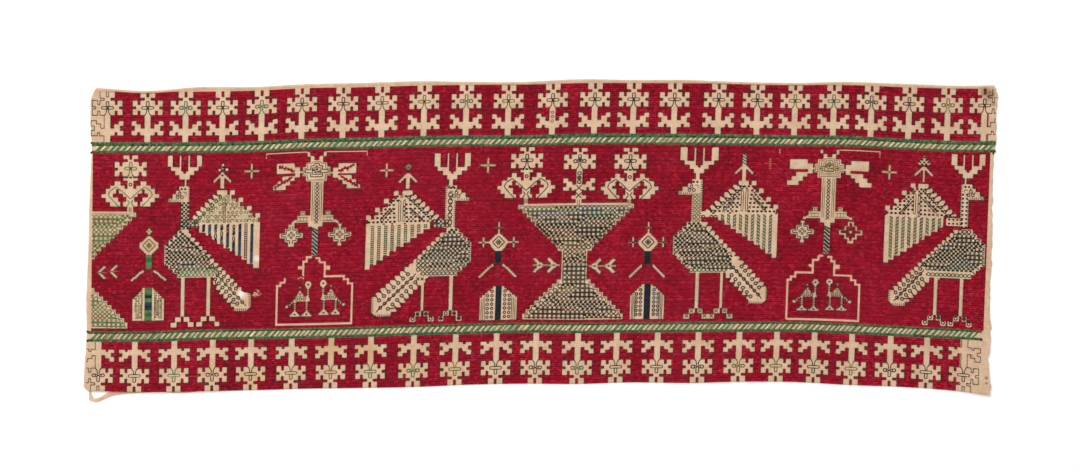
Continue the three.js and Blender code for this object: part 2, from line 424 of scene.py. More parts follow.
def torch(pen, kit):
    reach = kit["diamond"]
    if kit["cross"]:
        pen.open(-0.5, -9.3, 0.5, -reach + 0.5)
        pen.open(-2.2, -6.9, 2.2, -6.3)
        pen.knot(0, -6.6, 0.9, 0.9)
        pen.both(6.5, -2.3, 7.6, 2.5)
        pen.both(reach - 0.5, -0.25, 9.4, 0.5)
        for side in (-1, 1):
            pen.knot(side * 7.05, 0.1, 1.0, 0.9)
    else:
        pen.fill([(0, -8.2), (1.9, -6.4), (0, -4.6), (-1.9, -6.4)])
        pen.fill([(-1, -7.6), (1, -7.6), (1, -5.2), (-1, -5.2)])
        for x, y in ((0, -6.4), (-0.7, -7.0), (0.7, -7.0), (-0.7, -5.7), (0.7, -5.7)):
            pen.knot(x, y, 0.55, 0.6, "green")
    diamondOf(pen, reach, kit["line"])
    top, wide, low = kit["domeTop"], kit["dome"], kit["stemEnd"]
    pen.open(-1.35, reach - 0.5, 1.35, low)
    patchWork(pen, 1.45, reach - 0.2, low - 0.1, kit["stem"])
    for side in (-1, 1):
        pen.bar(side * 2.2, low + 0.2, side * kit["arm"], 16.5, 1.4)
    if kit["cross"]:
        for y in np.arange(11.4, 18.2, 0.9):
            pen.knot(0, y, 2.0, 0.5, "rose", 1.3)
    else:
        for y in (12.4, 14.2, 16.2, 17.6):
            pen.knot(1.7, y, 0.7, 0.6, "blush", 1.5)
    pen = pen.moved(kit["domeShift"], 0)
    steps = kit["steps"]
    outline = []
    for step in range(steps + 1):
        x = 2.75 + (wide - 2.75) * step / steps
        outline += [(x, top + step), (x, top + step + 1)]
    outline = outline[:-1] + [(wide, kit["foot"])]
    pen.fill([(-x, y) for x, y in outline[::-1]] + outline)
    patchWork(pen, kit["coreWide"], top, top + 3.6, kit["core"])
    patchWork(pen, kit["coreWide"], top + 3.6, top + 10.6, kit["coreMiddle"])
    patchWork(pen, kit["coreWide"], top + 10.6, kit["foot"], kit["core"])
    if not kit["cross"]:
        pen.twin([(2.9, top + 0.6), (2.9, kit["foot"])], "olive", 0.7)
    inner, outer = kit["coreWide"] + 0.9, wide - kit["plain"]
    for side in (-1, 1):
        for x in kit["lines"]:
            start = top + max(0.6, (wide - x - 2) * 1.05)
            pen.thread([(side * (wide - x), start), (side * (wide - x), kit["foot"])], kit["line"], 0.7)
        for x in np.arange(inner + 0.7, outer, kit["ringPitch"]):
            y = top + 1.4 + max(0, x - 2)
            while y < kit["foot"] - 0.8:
                dye = pick(kit["rings"])
                if kit["cross"]:
                    pen.ring(side * x, y, 0.6, 0.6, dye, kit["ringLine"])
                elif dice.random() < 0.6:
                    pen.thread([(side * x - 0.5, y - 0.5), (side * x + 0.5, y + 0.5)], dye, 0.85)
                    pen.thread([(side * x + 0.5, y - 0.5), (side * x - 0.5, y + 0.5)], dye, 0.85)
                else:
                    pen.knot(side * x + 0.3, y, 0.8, 0.6, dye)
                y += kit["ringRise"]


plainTorch = {
    "cross": True, "stem": ("navy", "ink"), "core": ("navy", "navy", "ink"), "coreMiddle": ("navy",),
    "domeShift": 0, "steps": 5,
}
torches = {
    (149, 245.8): {
        "cross": False, "diamond": 4.5, "line": "olive", "stem": ("sage", "leaf", "green"),
        "core": ("sage", "green", "leaf"), "coreMiddle": ("teal", "sage", "teal", "navy"), "coreWide": 1.75,
        "plain": 0.7, "lines": (), "ringPitch": 1.25, "ringRise": 1.1, "ringLine": 0.8,
        "stemEnd": 11.2, "arm": 8.3, "domeTop": 19.5, "dome": 7.5, "foot": 34.9,
        "rings": ("olive", "leaf", "forest", "olive"),
    },
    (498.7, 241.8): {
        "diamond": 4.3, "line": "forest", "coreWide": 1.4,
        "plain": 2.9, "lines": (2.5, 1.7, 0.9), "ringPitch": 2.05, "ringRise": 2.0, "ringLine": 1.0,
        "stemEnd": 10.1, "arm": 8.8, "domeShift": 0.75, "domeTop": 20.5, "dome": 8.75, "foot": 36.3,
        "rings": ("brown", "ink", "blue", "ink", "navy"),
    },
    (648.3, 241.5): {
        "diamond": 4.4, "line": "ink", "coreWide": 1.5,
        "plain": 2.4, "lines": (2.1, 1.4, 0.8), "ringPitch": 1.95, "ringRise": 1.9, "ringLine": 1.15,
        "stemEnd": 10.4, "arm": 8.2, "domeShift": 0.5, "domeTop": 19.7, "dome": 7.8, "foot": 36.0,
        "rings": ("navy", "navy", "ink", "ink", "blue"),
    },
}


def arrowAbove(pen, kind, shaft=7.4):
    # origin at the point of the head
    for side in (-1, 1):
        pen.bar(side * 0.3, 0.5, side * 4.4, 4.5, 1.45)
    pen.fill([(0, -0.5), (1.3, 1.5), (-1.3, 1.5)])
    pen.open(-0.75, 1.0, 0.75, shaft)
    if kind == "rings":
        for x, y in ((0.1, -3.7), (-1.4, -1.4), (2.0, -1.5)):
            pen.open(x - 0.8, y - 0.8, x + 0.8, y + 0.8)
            pen.ring(x, y, 0.95, 0.95, "ink", 1.0)
        pen.open(-0.5, -2.9, 0.7, 0)
        pen.knot(0.1, -2.4, 0.7, 0.7)
        pen.knot(0.1, -1.0, 1.2, 1.2)
        pen.knot(0, 1.2, 1.1, 0.9)
    elif kind == "diamond":
        pen.fill([(0, -4.8), (2.0, -2.6), (0, -0.7), (-2.0, -2.6)])
        for x, y in ((0, -3.7), (-1, -2.6), (1, -2.6), (0, -1.6)):
            pen.ring(x, y, 0.5, 0.5, "ink", 0.75, 6)
        pen.knot(0, -2.6, 0.7, 0.7)
    elif kind == "chequer":
        pen.fill([(0, -5.2), (3.2, -1.2), (2.4, -0.6), (-2.4, -0.6), (-3.2, -1.2)])
        for y, count in ((-4.1, 1), (-3.0, 2), (-1.9, 3), (-1.0, 2)):
            for k in range(count):
                pen.knot((k - (count - 1) / 2) * 1.9, y, 1.0, 0.85)
    else:
        pen.open(-1.1, -5.2, 1.1, 0)
        for y in np.arange(-4.6, 0.6, 1.35):
            pen.thread([(-1.1, y - 0.7), (1.1, y + 0.7)], "green", 1.5, 0.6)
        pen.thread([(-0.2, -8), (-0.2, -5.2)], "forest", 0.6)


def pick(choices):
    return choices[int(dice.integers(len(choices)))]


def ringField(pen, spots, dyesBy, pitchX=2.15, pitchY=2.0, pale="cream", widths=(0.85, 1.0), check=0.5):
    # short runs of one dye: a chequer of knots, or rings with a knot in the gap between four
    left = 0
    for x, y in spots:
        if left <= 0:
            left, dye, knotDye = int(dice.integers(2, 8)), pick(dyesBy(x, y)), pick(dyesBy(x, y))
            width, knotted, chequered = pick(widths), dice.random() < 0.6, dice.random() < check
        left -= 1
        if chequered:
            over, down = pitchX / 4, pitchY / 4
            for turn, colour in ((-1, dye), (1, knotDye)):
                pen.knot(x + turn * over, y + turn * down, pitchX / 2 + 0.35, pitchY / 2 + 0.15, colour)
                pen.knot(x - turn * over, y + turn * down, 0.75, 0.7, pale, 0.7)
            continue
        pen.ring(x, y, pitchX / 2 - 0.12, pitchY / 2 - 0.12, dye, width)
        if knotted:
            pen.knot(x + pitchX / 2, y + pitchY / 2, 1.0, 0.8, knotDye)
        if dice.random() < 0.85:
            pen.knot(x, y, 0.95, 0.75, pale, 0.7)


def shows(pen, x, y, margin=0.0):
    for dx, dy in ((0, 0), (margin, 0), (-margin, 0), (0, margin), (0, -margin)):
        c, r = pen.at(x + dx, y + dy)
        if not (0 <= int(r) < rows and 0 <= int(c) < cols and bare[int(r), int(c)]):
            return False
    return True


def crest(pen, prong=6.5, outer=(5.5, 8.0)):
    middle = (outer[0] + outer[1]) / 2
    pen.both(outer[0], 0, outer[1], prong)
    pen.both(1.4, 0, 2.6, prong + 1.0)
    pen.both(1.5, prong, middle, prong + 1.75)
    pen.open(-4.5, prong + 1.75, 4.5, prong + 4)
    pen.close(-1.2, prong, 1.2, prong + 2.2)
    pen.close(-0.6, prong + 2.0, 0.6, prong + 2.8)
    pen.open(-2.4, prong + 4, 2.4, prong + 6)


def between(pen, anchors):
    # evenly counted places from one anchor to the next, each anchor (number, right, down)
    numbers, rights, downs = zip(*anchors)
    count = np.arange(numbers[-1] + 1)
    places = zip(np.interp(count, numbers, rights), np.interp(count, numbers, downs))
    return [pen.near(right, down) for right, down in places]


def birdBody(pen, bird):
    # the pen stands where the neck's centre line meets the body
    chest, belly, steps = bird["chest"], bird["belly"], bird["lowSteps"]
    chestLow = belly - 2 * steps
    upper, lower = between(pen, bird["upperLobes"]), between(pen, bird["lowerLobes"])
    outline = []
    for step in (6, 4, 2):
        outline += [(-(chest - step), 6 - step), (-(chest - step), 8 - step)]
    outline += [(-chest, 6), (-chest, chestLow)]
    for step in range(1, steps + 1):
        x = -(chest - 2 * step)
        outline += [(x, chestLow + 2 * step - 2), (x, chestLow + 2 * step)]
    lowX = lower[0][0]
    outline += [(lowX - 1, belly)]
    levels = [belly] + [y for x, y in lower]
    for (x, y), level in zip(lower, levels):
        outline += [(x, level), (x, y)]
    (footX0, footY), (footX1, _) = (pen.near(*place) for place in bird["tailFoot"])
    (endX, endY0), (_, endY1) = (pen.near(*place) for place in bird["tailEnd"])
    outline += [(footX0, lower[-1][1]), (footX0, footY), (footX1, footY), (endX, endY1), (endX, endY0)]
    drops = [y1 - y0 for (x0, y0), (x1, y1) in zip(upper, upper[1:])]
    drops.append(drops[-1])
    notches = [(x, y + drop) for (x, y), drop in zip(upper, drops)]
    for (x, y), drop in reversed(list(zip(upper, drops))):
        outline += [(x, y + drop), (x, y)]
    outline += [(1.75, upper[0][1]), (1.75, 0)]
    pen.fill(outline)
    lowNotches = [(x1, y0) for (x0, y0), (x1, y1) in zip(lower, lower[1:])]

    def pin(notch, ring):
        # a short line from the notch between two lobes to its ring
        long = ((ring[0] - notch[0]) ** 2 + (ring[1] - notch[1]) ** 2) ** 0.5
        if long > 0.9:
            share = (long - 0.6) / long
            tip = (notch[0] + (ring[0] - notch[0]) * share, notch[1] + (ring[1] - notch[1]) * share)
            pen.thread([notch, tip], "ink", 1.15, 0.6)

    tailFrom = lowX + 2
    for kind, edge in (("upperRings", notches), ("lowerRings", lowNotches)):
        for ring in between(pen, bird[kind]):
            pen.ring(*ring, 0.72, 0.72, "ink", 1.15)
            pin(min(edge, key=lambda notch: (notch[0] - ring[0]) ** 2 + (notch[1] - ring[1]) ** 2), ring)
    for (x, y) in notches:
        pen.close(x - 0.25, y - 0.5, x + 0.5, y)
        if x < tailFrom:
            pen.thread([(x, y), (x - 1.5, y + 1.2)], "ink", 1.0, 0.6)
            pen.thread([(x - 1.5, y + 1.2), (x - 1.4, y + 2.6)], "ink", 0.85, 0.6)
    for (x, y) in lowNotches:
        pen.close(x - 0.5, y, x + 0.25, y + 0.5)
    quill = between(pen, bird["quill"])
    waved = [(x, y + (0.3 if k % 2 else -0.3)) for k, (x, y) in enumerate(quill)]
    pen.thread(waved, bird["quillDye"], 1.15, 0.6)
    for x, y in quill[1:-1]:
        pen.ring(x, y, 0.68, 0.68, "ink" if bird["quillDye"] == "ink" else "forest", 1.15)
    for step in (4, 2, 0):
        pen.thread([(-(chest - step), 6 - step), (-(chest - step) + 1.9, 8 - step)], "ink", 1.0)
        pen.close(-(chest - step), 6 - step - 0.5, -(chest - step) + 0.5, 6 - step)
    for step in range(steps):
        x, y = -(chest - 2 * step), chestLow + 2 * step
        pen.thread([(x, y), (x + 1.9, y - 1.9)], "ink", 1.0)
        pen.close(x, y, x + 0.5, y + 0.5)
    pen.ticks(np.arange(6.8, chestLow - 0.1, tickPitch), -chest, -chest + 1.1, "ink", 0.75)
    pen.ticks(np.arange(footX0 + 0.6, footX1, tickPitch), footY, footY - 1.2, "ink", 0.75, True)
    pen.ticks(np.arange(endY0 + 0.8, endY1, tickPitch), endX, endX - 1.2, "ink", 0.75)
    spots = []
    edges = sorted((y, x) for x, y in upper)
    for row, y in enumerate(np.arange(1.4, belly - 2.4, 1.97)):
        inset = max(0, 6 - 2 * int(y / 2))
        if y >= chestLow:
            inset = 2 * (int((y - chestLow) / 2) + 1)
        back = float(np.interp(y, [e[0] for e in edges], [e[1] for e in edges])) - 3.1
        for x in np.arange(-chest + 1.6 + (0.15 if row % 2 else 0), 20, 2.05):
            if -chest + inset + 1.3 < x < back and x < lowX + 3 and shows(pen, x, y, 0.9):
                spots.append((x, y))
    def dyesAt(x, y):
        return bird["foot" if bird["greenBelow"] and y > belly - 5 else "fill"]

    ringField(pen, spots, dyesAt, 2.05, 1.97)
    for x in np.arange(-chest + 2 * steps + 0.8, lowX + 0.6, 1.9):
        pen.ring(x, belly - 1.4, 0.85, 0.75, pick(bird["foot"]), 0.85)
        pen.knot(x + 0.95, belly - 1.3, 0.6, 1.0, pick(bird["foot"]))
    for centre in bird["legs"]:
        legLow = bird["legLow"]
        pen.open(centre - 0.95, belly - 0.3, centre + 0.95, legLow + 0.1)
        if bird["ladder"]:
            rungs = np.arange(belly + 0.5, legLow - 0.4, tickPitch)
            for side in (-1, 1):
                pen.ticks(rungs, centre + side * 0.7, centre + side * 1.35, "brown", 0.65)
        foot = pen.moved(centre, legLow)
        foot.both(0.5, 0, 3.4, 2.6)
        foot.both(2.7, 2.4, 5.6, 4.9)
        for side in (-1, 1):
            for x, y in ((1.95, 1.2), (4.2, 3.5)):
                if bird["feet"] == "rings":
                    foot.ring(side * x, y, 0.75, 0.75, "ink", 0.95)
                    if dice.random() < 0.35:
                        foot.knot(side * x, y, 0.9, 0.8)
                elif bird["feet"] == "crosses":
                    foot.cross(side * x, y, 0.8, "green", 1.1)
    if bird["brace"]:        # the cloth shows in a curve between the body and the back leg
        right = max(bird["legs"])
        pen.fill([(right - 3.4, belly - 0.3), (right + 1, belly - 0.3), (right + 1, belly + 3),
                  (right - 0.9, belly + 3), (right - 1.4, belly + 1.2)])


def birdHead(pen, bird):
    # the pen stands at the top of the head, over the neck
    wide, back = bird["neck"], bird["nape"]
    for k, reach in enumerate(bird["beak"]):
        pen.open(-reach, k * 1.8, back, k * 1.8 + 1.9)
    bottom = bird["neckLong"] + 7.0
    pen.open(-wide, 7, wide, bottom + 0.2)
    for x in (-1.75, -0.1):
        pen.knot(x, 1.4, 1.0, 1.0, "ink" if x < -1 else bird["eye"])
    for x, y in ((-2.7, 3.6), (-3.6, 5.2), (-1.6, 5.2)):
        pen.ring(x, y, 0.72, 0.72, "ink" if y < 4 else "brown", 0.85)
    pen.thread([(-2.9, 1.9), (-2.2, 3.0)], "ink", 0.9)
    pen.thread([(-bird["beak"][1], 3.8), (-bird["beak"][1] + 1.2, 4.9)], "ink", 0.9)
    pen.ring(-bird["beak"][-1] + 1.0, 6.3, 0.7, 0.7, "green", 0.85)
    pen.thread([(-1.2, 2.8), (0.4, 3.0), (0.3, 4.2)], "brown", 0.7)
    pen.ticks(np.arange(-bird["beak"][-1] + 2.6, -wide, tickPitch), 7.2, 6.2, "ink", 0.6, True)
    if bird["neckFill"] == "lattice":
        for row, y in enumerate(np.arange(8.0, bottom, tickPitch)):
            for column in range(4):
                x = -1.32 + column * 0.88
                if (row + column) % 2:
                    pen.knot(x, y, 1.1, 0.95, pick(("ink", "navy", "ink", "forest", "teal")))
                elif dice.random() < 0.6:
                    pen.knot(x, y, 0.7, 0.75, "cream", 0.65)
    elif bird["neckFill"] == "dots":
        for k, y in enumerate(np.arange(5.0, bottom, 1.9)):
            for x in (-1.0, 0.9):
                pen.knot(x, y, 1.0, 0.9, pick(("ink", "ink", "navy")))
    elif bird["neckFill"] == "chain":
        for y in np.arange(4.4, bottom, 3.25):
            pen.ring(0, y, 1.0, 0.95, "ink", 0.9)
            pen.twin([(0.9, y + 0.9), (-0.9, y + 2.4)], "forest", 0.85)
    else:
        for y in np.arange(7.6, bottom, 1.7):
            for x in (-0.85, 0.85):
                pen.ring(x, y, 0.72, 0.7, pick(("forest", "olive", "leaf")), 0.75)
    for y in np.arange(0.6, bottom + 0.2, tickPitch):
        edge = back if y < 7.2 else wide
        pen.thread([(edge + 0.1, y), (edge - 0.9, y)], bird["tick"], 0.75)
        if y > 7.4:
            pen.thread([(-wide - 0.1, y), (-wide + 0.9, y)], bird["tick"], 0.75)


def wing(pen, kit):
    # the pen stands at the wing's top; the front faces the neck
    front, back, base = kit["front"], kit["backEdge"], 15.2
    outline = [(-2.6, 0), (-2.6, 2)]
    for k in range(1, 8):
        x = -2.6 - front * k
        outline += [(x, 1.9 * k), (x, 1.9 * (k + 1))]
    outline += [(x, base), (back, base)]
    slope = (back - 2.6) / 7.6
    for k in range(7, 0, -1):
        x = 2.6 + slope * k
        outline += [(x, 1.87 * k + 1.9), (x, 1.87 * k)]
    outline += [(2.6, 1.87), (2.6, 0)]
    pen.fill(outline)
    first, last = kit["squares"]
    for k in range(4):
        x, y = first + (last - first) * k / 3, 0.1 + 3.72 * k
        pen.open(x, y - 0.1, x + 2.5, y + 2.4)
        pen.close(x - 0.9, y - 0.4, x, y + 1.3)
    for k in range(1, 8):        # pins along the front lobes
        x, y = -2.6 - front * k, 1.9 * k
        pen.close(x + front - 0.25, y - 0.25, x + front + 0.25, y + 0.5)
        pen.thread([(x + front - 0.2, y), (x + front + 1.3, y + 1.05)], "ink", 1.25, 0.65)
        pen.ring(x + front + 1.8, y + 1.45, 0.72, 0.72, "ink", 1.05)
    middle = kit["quillAt"]
    for row, y in enumerate(np.arange(2.8, base - 0.6, 1.95)):
        left = -2.6 - front * y / 1.9 + 4.3
        right = 2.6 + slope * y / 1.87 - 0.9
        for x in np.arange(left, right, 1.95):
            dye = pick(kit["fill"])
            if kit["dots"]:
                if abs(x - middle) < 1.9 and y > 3.5:
                    continue
                if dice.random() < 0.85:
                    pen.knot(x, y, 1.15, 1.05, dye)
                    if dice.random() < 0.3:
                        pen.knot(x + 0.98, y + 0.98, 0.9, 0.8, dye)
                else:
                    pen.cross(x, y, 0.7, dye, 0.8)
                continue
            for shift in (-0.5, 0.5):
                pen.thread([(x + shift - 0.1, y + 0.9), (x + shift + 0.1, y - 0.9)], "reed", 1.3, 0.35)
            kind = dice.random()
            if kind < 0.35:
                pen.ring(x, y, 0.62, 0.62, dye, 1.0)
            elif kind < 0.6:
                hook = [(x - 0.8, y + 0.8), (x - 0.8, y - 0.6), (x + 0.6, y - 0.6), (x + 0.6, y + 0.4)]
                pen.thread(hook, dye, 1.0)
            elif kind < 0.9:
                pen.cross(x, y, 0.7, dye, 0.9)
    if kit["dots"]:
        for x in (-1.5, -0.55, 0.55, 1.5):
            high = 4.2 if abs(x) > 1 else 5.4
            pen.thread([(middle + x, high), (middle + x, base - 0.8)], kit["quill"], 0.75)
        for x in (-1, 1):
            pen.thread([(middle + x * 1.5, 4.2), (middle + x * 0.55, 5.4)], kit["quill"], 0.75)
            pen.thread([(middle + x * 1.5, base - 0.8), (middle + x * 0.5, base - 0.8)], kit["quill"], 0.75)
    else:
        pen.ticks((1.0, 1.8), 2.6, base - 1, "brown", 0.7, True)
    for start, end in kit["slants"]:
        (x0, y0), (x1, y1) = pen.near(*start), pen.near(*end)
        for shift in (-0.55, 0.55):
            pen.thread([(x0 + shift, y0), (x1 + shift, y1)], "ink", 0.95, 0.6)
        pen.ring(x1, y1, 0.8, 0.7, "ink", 0.85)
    longest, pitch, fall = kit["longest"], kit["toothPitch"], kit["fall"]
    first = back - kit["firstTooth"]
    pen.open(first, base - 0.2, back, base + longest)
    for k in range(kit["teeth"]):
        left, right = first - pitch * (k + 1), first - pitch * k
        bottom = base + longest - fall * (k + 1)
        pen.open(left, base - 0.2, right, bottom)
        combStripe(pen, right - pitch * 0.52, right - 0.1, base + 0.9, bottom - 0.3, kit, k)


def combStripe(pen, left, right, top, bottom, kit, number):
    middle, wide = (left + right) / 2, right - left
    if kit["stripes"] == "slanted":
        dye = kit["stripeDyes"][number % 2]
        lean = 0.75 if number % 3 else -0.75
        pen.ticks((left + 0.15, right - 0.15), top, bottom, dye, 0.55, True)
        for y in np.arange(top + 0.6, bottom - 0.4, 1.5):
            pen.thread([(left, y - lean), (right, y + lean)], pick((dye, "green")), 1.5, 0.6)
    elif kit["stripes"] == "ladder":
        pen.ticks((left + 0.2, right - 0.2), top, bottom, "green", 0.7, True)
        for y in np.arange(top + 0.3, bottom, tickPitch):
            pen.thread([(left, y), (right, y)], "forest" if dice.random() < 0.6 else "green", 1.1, 0.5)
            if dice.random() < 0.2:
                pen.knot(middle, y, 0.7, 0.8, "green")
    elif number == 1:
        pen.ticks((left + 0.15, right - 0.15), top, bottom, "ink", 0.8, True)
        pen.ticks(np.arange(top, bottom, tickPitch), left, right, "ink", 1.0)
    else:
        y = top
        while y < bottom - 0.4:
            end = min(y + float(dice.choice([1.4, 2.4, 3.4])), bottom)
            if dice.random() < 0.66 or number in (0, 2):
                pen.satin(left, y, right, end, pick(("navy", "navy", "teal", "blue")), 0.5, 0.5)
            else:
                pen.ring(middle, (y + end) / 2, wide * 0.36, (end - y) * 0.36, pick(("navy", "ink")), 1.0)
                pen.knot(middle, end - 0.2, wide * 0.9, 0.6, "ink")
            y = end


plainBird = {
    "flip": 1, "lowSteps": 3, "quillDye": "ink", "greenBelow": False, "ladder": False, "brace": False,
    "marks": (),
}
plainWing = {
    "firstTooth": 2.5, "toothPitch": 2.8, "fall": 1.94, "teeth": 9, "stripes": "slanted", "dots": True,
    "quill": "brown",
}
birds = {
    "bird at the left": {
        "crestAt": (185.5, 155.6), "prong": 5.5, "outer": (5.3, 8.0), "headAt": (185.5, 186), "tie": 0.6,
        "beak": (3.0, 4.5, 6.25, 8.0), "neck": 1.75, "nape": 2.2, "neckLong": 13.5, "neckFill": "lattice",
        "eye": "navy", "tick": "forest", "bodyAt": (185.5, 230), "chest": 9.75, "belly": 22.5,
        "upperLobes": ((0, 191.5, 233), (13, 242, 287)), "lowerLobes": ((0, 212.5, 285.5), (5, 230.5, 307)),
        "upperRings": ((0, 216, 268.5), (5, 236, 288.5)),
        "lowerRings": ((0, 215.3, 279.3), (6, 237.3, 303.7)),
        "quill": ((0, 213.5, 271), (8, 246.5, 306.5)), "quillDye": "olive",
        "tailFoot": ((234, 311), (247, 311)), "tailEnd": ((251, 293), (251, 307)),
        "legs": (-1.0, 11.1), "legLow": 40.6, "feet": "plain",
        "fill": ("ink", "navy", "forest", "ink", "teal"), "foot": ("green", "leaf", "sage"),
        "greenBelow": True,
        "wingAt": (222.5, 190), "linkAt": (192, 219), "link": (-4, 3.7, 4),
        "arrow": "rings", "arrowAt": (222.8, 173),
        "wing": {"front": 1.85, "backEdge": 18.1, "squares": (3.4, 15.4), "longest": 21.6, "firstTooth": 3.1,
                 "toothPitch": 2.81, "fall": 1.89, "stripes": "blocks", "dots": False,
                 "quillAt": 0, "slants": (), "fill": ("olive", "leaf", "olive", "brown"), "quill": "olive"},
    },
    "bird right of the tree": {
        "flip": -1,
        "crestAt": (452.5, 153), "prong": 6.5, "outer": (5.7, 8.7), "headAt": (450.5, 185), "tie": 0.9,
        "beak": (3.0, 5.25, 7.0, 9.0), "neck": 2.5, "nape": 2.5, "neckLong": 13.0, "neckFill": "chain",
        "eye": "ink", "tick": "ink", "bodyAt": (450.5, 228), "chest": 9.8, "belly": 22.5,
        "upperLobes": ((0, 439.5, 232), (8, 404.2, 267), (14, 375.8, 292)),
        "lowerLobes": ((0, 422, 285.8), (6, 396.5, 312)),
        "upperRings": ((0, 408, 274.2), (6, 379.2, 300.4)),
        "lowerRings": ((0, 415.4, 282.3), (6, 388, 308.8)),
        "quill": ((0, 415.8, 274.2), (9, 375.8, 312)),
        "tailFoot": ((391.5, 316.5), (375, 316.5)), "tailEnd": ((371.2, 297), (371.2, 311.5)),
        "legs": (-0.9, 12.2), "legLow": 38.6, "feet": "rings", "brace": True,
        "fill": ("ink", "teal", "forest", "navy", "ink"), "foot": ("teal", "forest"),
        "wingAt": (408, 190), "linkAt": (441, 219), "link": (-3.6, 3.6, 4),
        "arrow": "diamond", "arrowAt": (408, 172.5),
        "marks": ((417.7, 278.5), (422.3, 278.5), (448.3, 187), (452.7, 187)),
        "wing": {"front": 2.03, "backEdge": 19.1, "squares": (4.2, 16.6), "longest": 21.5,
                 "toothPitch": 3.07, "fall": 2.04, "stripes": "ladder",
                 "quillAt": 2.4, "slants": (((392, 208), (382, 220)), ((410, 208), (421, 219))),
                 "fill": ("ink", "navy", "ink", "forest"), "quill": "forest"},
    },
    "bird right of the urn": {
        "crestAt": (699.5, 147), "prong": 6.5, "outer": (5.6, 8.8), "headAt": (698, 179), "tie": 0.8,
        "beak": (2.6, 4.6, 7.0, 9.0), "neck": 2.4, "nape": 2.4, "neckLong": 13.0, "neckFill": "links",
        "eye": "brown", "tick": "forest", "bodyAt": (698, 222), "chest": 11.3, "belly": 24.0, "lowSteps": 4,
        "upperLobes": ((0, 707.5, 222), (14, 764, 281.5)), "lowerLobes": ((0, 725.5, 278), (5, 746, 299.5)),
        "upperRings": ((0, 741.5, 266.5), (5, 759, 287.5)),
        "lowerRings": ((0, 731.5, 275), (5, 750.5, 296.3)),
        "quill": ((0, 729.5, 263.5), (9, 761.5, 298.3)),
        "tailFoot": ((748, 303.8), (762.3, 303.8)), "tailEnd": ((767.3, 285.3), (767.3, 299.3)),
        "legs": (0.3, 11.8), "legLow": 40.5, "feet": "crosses", "ladder": True,
        "fill": ("ink", "forest", "navy", "forest", "ink"), "foot": ("teal", "green"),
        "wingAt": (744, 180), "linkAt": (709, 210.5), "link": (-3.6, 5.0, 3.2),
        "arrow": "twist", "arrowAt": (744, 164.5),
        "wing": {"front": 2.15, "backEdge": 16.4, "squares": (3.7, 13.9), "longest": 21.2,
                 "stripeDyes": ("teal", "green"),
                 "quillAt": 0.6, "slants": (((735, 197), (725, 208.5)), ((754, 198), (764, 208.5))),
                 "fill": ("ink", "ink", "forest")},
    },
    "bird at the right": {
        "flip": -1,
        "crestAt": (969, 154), "prong": 5.5, "outer": (5.0, 7.8), "headAt": (965.5, 184), "tie": 0.6,
        "beak": (3.3, 4.9, 6.8, 9.0), "neck": 2.1, "nape": 2.1, "neckLong": 13.5, "neckFill": "dots",
        "eye": "ink", "tick": "ink", "bodyAt": (965.5, 229), "chest": 9.3, "belly": 23.3,
        "upperLobes": ((0, 953, 229.5), (8, 921.5, 258), (15, 893, 285)),
        "lowerLobes": ((0, 929, 283), (5, 909, 302.5)),
        "upperRings": ((0, 924.3, 264.8), (7, 895.5, 292.5)),
        "lowerRings": ((0, 921.7, 279), (5, 901.8, 298.8)),
        "quill": ((0, 924, 270), (8, 893, 301.5)),
        "tailFoot": ((904.5, 306), (892.5, 306)), "tailEnd": ((888, 289.5), (888, 301)),
        "legs": (1.2, 13.2), "legLow": 40.9, "feet": "rings", "ladder": True, "brace": True,
        "fill": ("ink", "forest", "teal", "ink"), "foot": ("green", "forest"),
        "wingAt": (923, 183), "linkAt": (955, 218), "link": (-3.6, 4.6, 4),
        "arrow": "chequer", "arrowAt": (924, 167),
        "wing": {"front": 1.92, "backEdge": 17.6, "squares": (3.5, 14.9), "longest": 23.0,
                 "stripeDyes": ("green", "forest"),
                 "quillAt": 2.7, "slants": (((911, 201), (901, 213)), ((924, 199), (935, 211))),
                 "fill": ("ink", "ink", "navy")},
    },
}


def stitchBird(bird):
    def pen(place):
        return penAt(*place, flip=bird["flip"], edge="ink")
    crest(pen(bird["crestAt"]), bird["prong"], bird["outer"])
    head = pen(bird["headAt"])
    head.open(-bird["tie"], -3.5, bird["tie"], 0)
    birdHead(head, bird)
    birdBody(pen(bird["bodyAt"]), bird)
    wing(pen(bird["wingAt"]), {**plainWing, **bird["wing"]})
    link = pen(bird["linkAt"])
    x0, x1, tall = bird["link"]
    link.open(x0, 0, x1, tall)
    for x in np.arange(x0 + 0.8, x1, 1.9):
        for y in np.arange(0.9, tall, 1.9):
            if bird["neckFill"] == "dots":
                link.knot(x, y, 1.0, 0.9)
            elif bird["neckFill"] != "links" or dice.random() < 0.35:
                link.ring(x, y, 0.8, 0.8, pick(bird["fill"]), 0.95)
                if dice.random() < 0.5:
                    link.knot(x + 0.95, y + 0.95, 0.8, 0.7, "navy")
    arrowAbove(pen(bird["arrowAt"]), bird["arrow"])
    for right, down in bird["marks"]:
        penAt(right, down).cross(0, 0, 0.7, "ink", 1.1)


